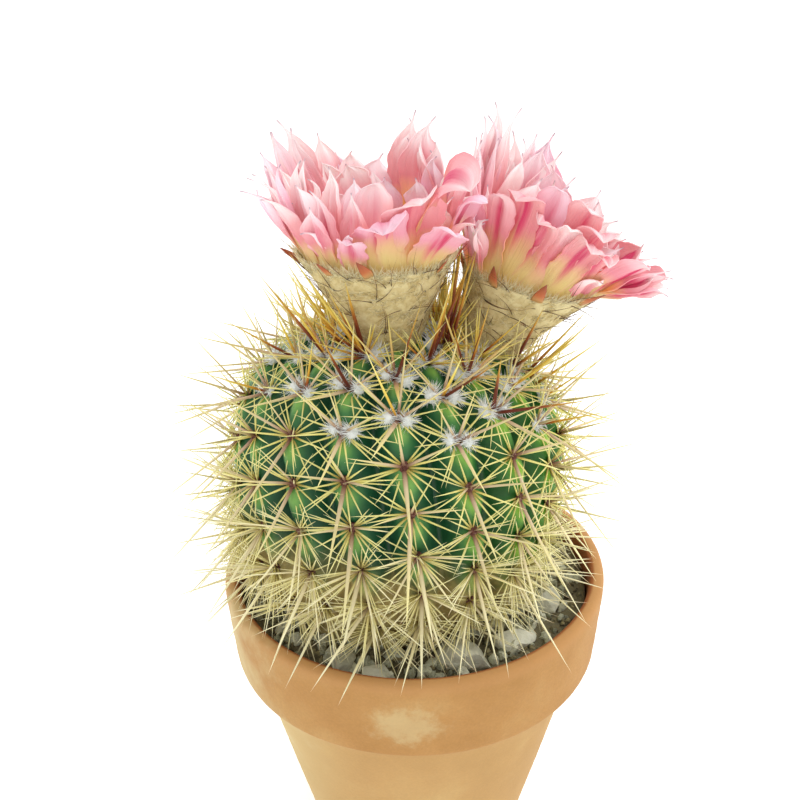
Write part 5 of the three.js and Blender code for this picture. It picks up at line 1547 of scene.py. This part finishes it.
def petal_grid(line, away, width, blunt, chance):
    """The petal's middle surface over its line: drawn out to an awn, cupped, pleated and ruffled."""
    across = unit(np.cross(unit(line[-1] - line[0]), away))
    twist = chance.gauss(0, 0.22)
    cup = chance.uniform(0.12, 0.4)
    pleats, pleat_phase = chance.uniform(1.2, 2.6), chance.uniform(0, 6.28)
    pleat_depth = chance.uniform(0.35, 0.85) * (0.6 if blunt else 1)
    ruffle, wave = chance.uniform(0.3, 1.1), chance.uniform(0, 6.28)
    salt = chance.uniform(0, 99)
    curl_sides = chance.choice((0, 0, 0.5, 1.0))
    shoulder, droop = chance.uniform(0.56, 0.76), chance.uniform(1.2, 1.8)
    ways = np.gradient(line, axis=0)
    grid = []
    for i, (point, way) in enumerate(zip(line, ways)):
        share = i / (PETAL_ROWS - 1)
        way = unit(way)
        flat_side = unit(across - way * np.dot(across, way))
        outward = np.cross(flat_side, way)
        turn = twist * share
        side = flat_side * math.cos(turn) + outward * math.sin(turn)
        outward = np.cross(side, way)
        grow = 0.38 + 0.62 * math.sin(min(share / 0.55, 1) * math.pi / 2)
        past_shoulder = (share - shoulder) / ((1 if blunt else AWN_START) - shoulder)
        drawn = 1 - max(past_shoulder, 0) ** (4 if blunt else droop)
        awn = AWN_HALF_WIDTH * (1 - 0.8 * max(share - 0.92, 0) / 0.08)
        half = max(width / 2 * grow * drawn, awn)
        free = float(smooth(0.2, 0.6, share))
        row = []
        for j in range(PETAL_COLUMNS):
            c = 2 * j / (PETAL_COLUMNS - 1) - 1
            torn = 1 + 0.22 * noise.noise(Vector((share * 9, c * 0.6 + salt, salt))) * abs(c) * free
            torn += 0.14 * noise.noise(Vector((share * 27, c * 0.6 + salt, salt))) * abs(c) ** 3 * free
            rise = -cup * half * c * c * (1 - 1.6 * curl_sides * free)
            rise += pleat_depth * math.sin(pleats * math.pi * c + pleat_phase) * free * min(half / 3, 1)
            rise += ruffle * math.sin(share * 8 + wave + 2 * c) * c * c * free * min(half / 4, 1)
            rise += 0.5 * noise.noise(Vector((share * 5 + salt, c * 1.2, salt))) * free * min(half / 3, 1)
            row.append(point + side * (half * c * torn) + outward * rise)
        grid.append(row)
    return np.array(grid)


def petal_solid(grid):
    """A petal's two faces and its edge as one closed skin."""
    rows, columns = grid.shape[:2]
    normals = np.cross(np.gradient(grid, axis=1), np.gradient(grid, axis=0))
    normals /= np.maximum(np.linalg.norm(normals, axis=2, keepdims=True), 1e-9)
    outer = (grid + normals * PETAL_HALF_THICKNESS).reshape(-1, 3)
    inner = (grid - normals * PETAL_HALF_THICKNESS).reshape(-1, 3)
    count = rows * columns
    faces = grid_faces(rows, columns, around=False)
    under = [tuple(i + count for i in reversed(face)) for face in faces]
    edge = list(range(columns)) + [r * columns + columns - 1 for r in range(1, rows)]
    edge += [(rows - 1) * columns + i for i in range(columns - 2, -1, -1)]
    edge += [r * columns for r in range(rows - 2, 0, -1)]
    following = edge[1:] + edge[:1]
    rim = [(b, b + count, a + count, a)[::-1] for a, b in zip(edge, following)]
    return np.concatenate([outer, inner]), faces + under + rim


def petals_piece(bloom):
    """All petals of a bloom as one piece, with where each point lies on its petal."""
    chance = random.Random(bloom["seed"] + 3)
    face, top = bloom["petals_face"], bloom["height"]
    plans = []
    for angle, x, y, z, width, bend, folded, turn, pinkness in OPEN_PETALS[bloom["name"]]:
        inset = chance.uniform(0.2, 0.7)
        tip = np.array([x, y, z])
        plans.append((math.radians(angle), inset, tip, None, width, bend, folded, math.radians(turn),
                      pinkness))
        if folded or y < -9:
            continue
        for extra in range(EXTRA_PETALS):
            moved = tip + [chance.gauss(0, 2.2), chance.gauss(0, 2.2), -abs(chance.gauss(2, 2.5))]
            moved += (bloom_point(bloom, 0, 0, top) - moved) * 0.06 * extra
            beside = math.radians(angle + chance.uniform(-11, 11))
            plans.append((beside, inset + 0.8 + 0.6 * extra, moved, None, width * chance.uniform(0.7, 0.95),
                          bend, 0, 0, pinkness * 0.7))
    for count, length, width, inset, opening in FILLING_ROWS:
        for i in range(count):
            angle = 2 * math.pi * (i + chance.uniform(-0.2, 0.2)) / count
            front = max(0.0, -math.sin(angle))
            if front > 0.35 and inset < 1:
                continue
            size = length * chance.uniform(0.9, 1.08) * (1 - 0.35 * front)
            plans.append((angle, inset, None, (size, opening + chance.gauss(0, 0.07)),
                          width * chance.uniform(0.85, 1.1), chance.uniform(0, 0.3), 0, 0,
                          chance.uniform(0.1, 0.6)))
    points, faces = [], []
    attributes = {"along": [], "across": [], "tone": [], "inner": [], "deep": []}
    total = 0
    for angle, inset, tip, grows, width, bend, folded, turn, pinkness in plans:
        low, high = top - 3.2, top - 0.6
        start = bloom_point(bloom, wall_radius(bloom["inside"], low) - 0.3 - inset, angle, low)
        above = bloom_point(bloom, wall_radius(bloom["inside"], high) - 0.3 - inset * 0.8, angle, high)
        leave = unit(above - start)
        away = bloom_point(bloom, 1, angle, 0) - bloom_point(bloom, 0, angle, 0)
        away = unit(away - face * np.dot(away, face))
        if tip is None:
            size, opening = grows
            tip = start + (face * math.cos(opening) + away * math.sin(opening)) * size
        curl = AWN_CURL * np.array([chance.gauss(0, 1), chance.gauss(0, 1), chance.uniform(-1.2, 0.2)])
        line = petal_line(start, leave, away, tip, bend, folded, turn, curl)
        solid, solid_faces = petal_solid(petal_grid(line, away, width, folded > 0, chance))
        faces += [tuple(v + total for v in face_points) for face_points in solid_faces]
        points.append(solid)
        total += len(solid)
        count = len(solid) // 2
        shares = np.linspace(0, 0.9 if folded else 1, PETAL_ROWS)
        attributes["along"] += list(np.repeat(shares, PETAL_COLUMNS)) * 2
        attributes["across"] += list(np.tile(np.linspace(-1, 1, PETAL_COLUMNS), PETAL_ROWS)) * 2
        attributes["tone"] += [chance.random()] * (2 * count)
        attributes["deep"] += [pinkness] * (2 * count)
        attributes["inner"] += [0.0] * count + [1.0] * count
    petals = piece_of(bloom["name"] + "_petal_rows", np.concatenate(points), faces, attributes)
    petals.data.set_sharp_from_angle(angle=math.radians(SHARP_EDGE))
    return petals


for bloom in BLOOMS:
    petals = petals_piece(bloom)
    finish_piece(petals, petal_silk, "petals", bloom["name"] + "_petals")

# Studio
# A plain pale floor in an evenly bright white room, with one broad soft lamp from the upper right and two
# weak ones from behind that light the edges.

FLOOR_HALF = 6000
FLOOR_GAP = 0.05
FLOOR_COLOUR = "#f4f4f2"
floor_paint, tree, shader = new_material("pale_floor", 0.9)
shader.inputs["Base Color"].default_value = linear(FLOOR_COLOUR)
shader.inputs["Emission Color"].default_value = linear("#ffffff")
shader.inputs["Emission Strength"].default_value = 0.35
corners = [(x * FLOOR_HALF, y * FLOOR_HALF, -FLOOR_GAP)
           for x, y in ((-1, -1), (1, -1), (1, 1), (-1, 1))]
floor = piece_of("floor", corners, [(0, 1, 2, 3)], smooth=False)
floor.data.materials.append(floor_paint)

ROOM_LIGHT = 1.0
world = bpy.data.worlds.new("bright_room")
bpy.context.scene.world = world
world.use_nodes = True
room = world.node_tree.nodes["Background"]
room.inputs["Color"].default_value = linear("#ffffff")
room.inputs["Strength"].default_value = ROOM_LIGHT


def lamp(name, place, size, power, target=(0, 0, 0.12)):
    """A square soft lamp that faces the target."""
    light = bpy.data.lights.new(name, "AREA")
    light.size = size
    light.energy = power
    lamp_object = bpy.data.objects.new(name, light)
    lamp_object.location = place
    lamp_object.rotation_euler = (Vector(target) - Vector(place)).to_track_quat("-Z", "Y").to_euler()
    bpy.context.scene.collection.objects.link(lamp_object)


lamp("key_lamp", (0.5, 0.1, 0.8), 0.5, 2.5)
lamp("left_edge_lamp", (-0.5, 0.35, 0.3), 0.4, 0.8)
lamp("right_edge_lamp", (0.5, 0.35, 0.3), 0.4, 0.8)

CAMERA_PLACE = (0.0, -0.26609, 0.27983)
CAMERA_TURN = (63.3217, 1.0585, 0.1286)
LENS = 49.5
SENSOR = 36.0
camera_data = bpy.data.cameras.new("camera")
camera_data.lens = LENS
camera_data.sensor_width = SENSOR
camera_data.clip_start = 0.01
camera = bpy.data.objects.new("camera", camera_data)
camera.location = CAMERA_PLACE
camera.rotation_euler = [math.radians(turn) for turn in CAMERA_TURN]
bpy.context.scene.collection.objects.link(camera)
bpy.context.scene.camera = camera
bpy.context.scene.view_settings.view_transform = "Standard"
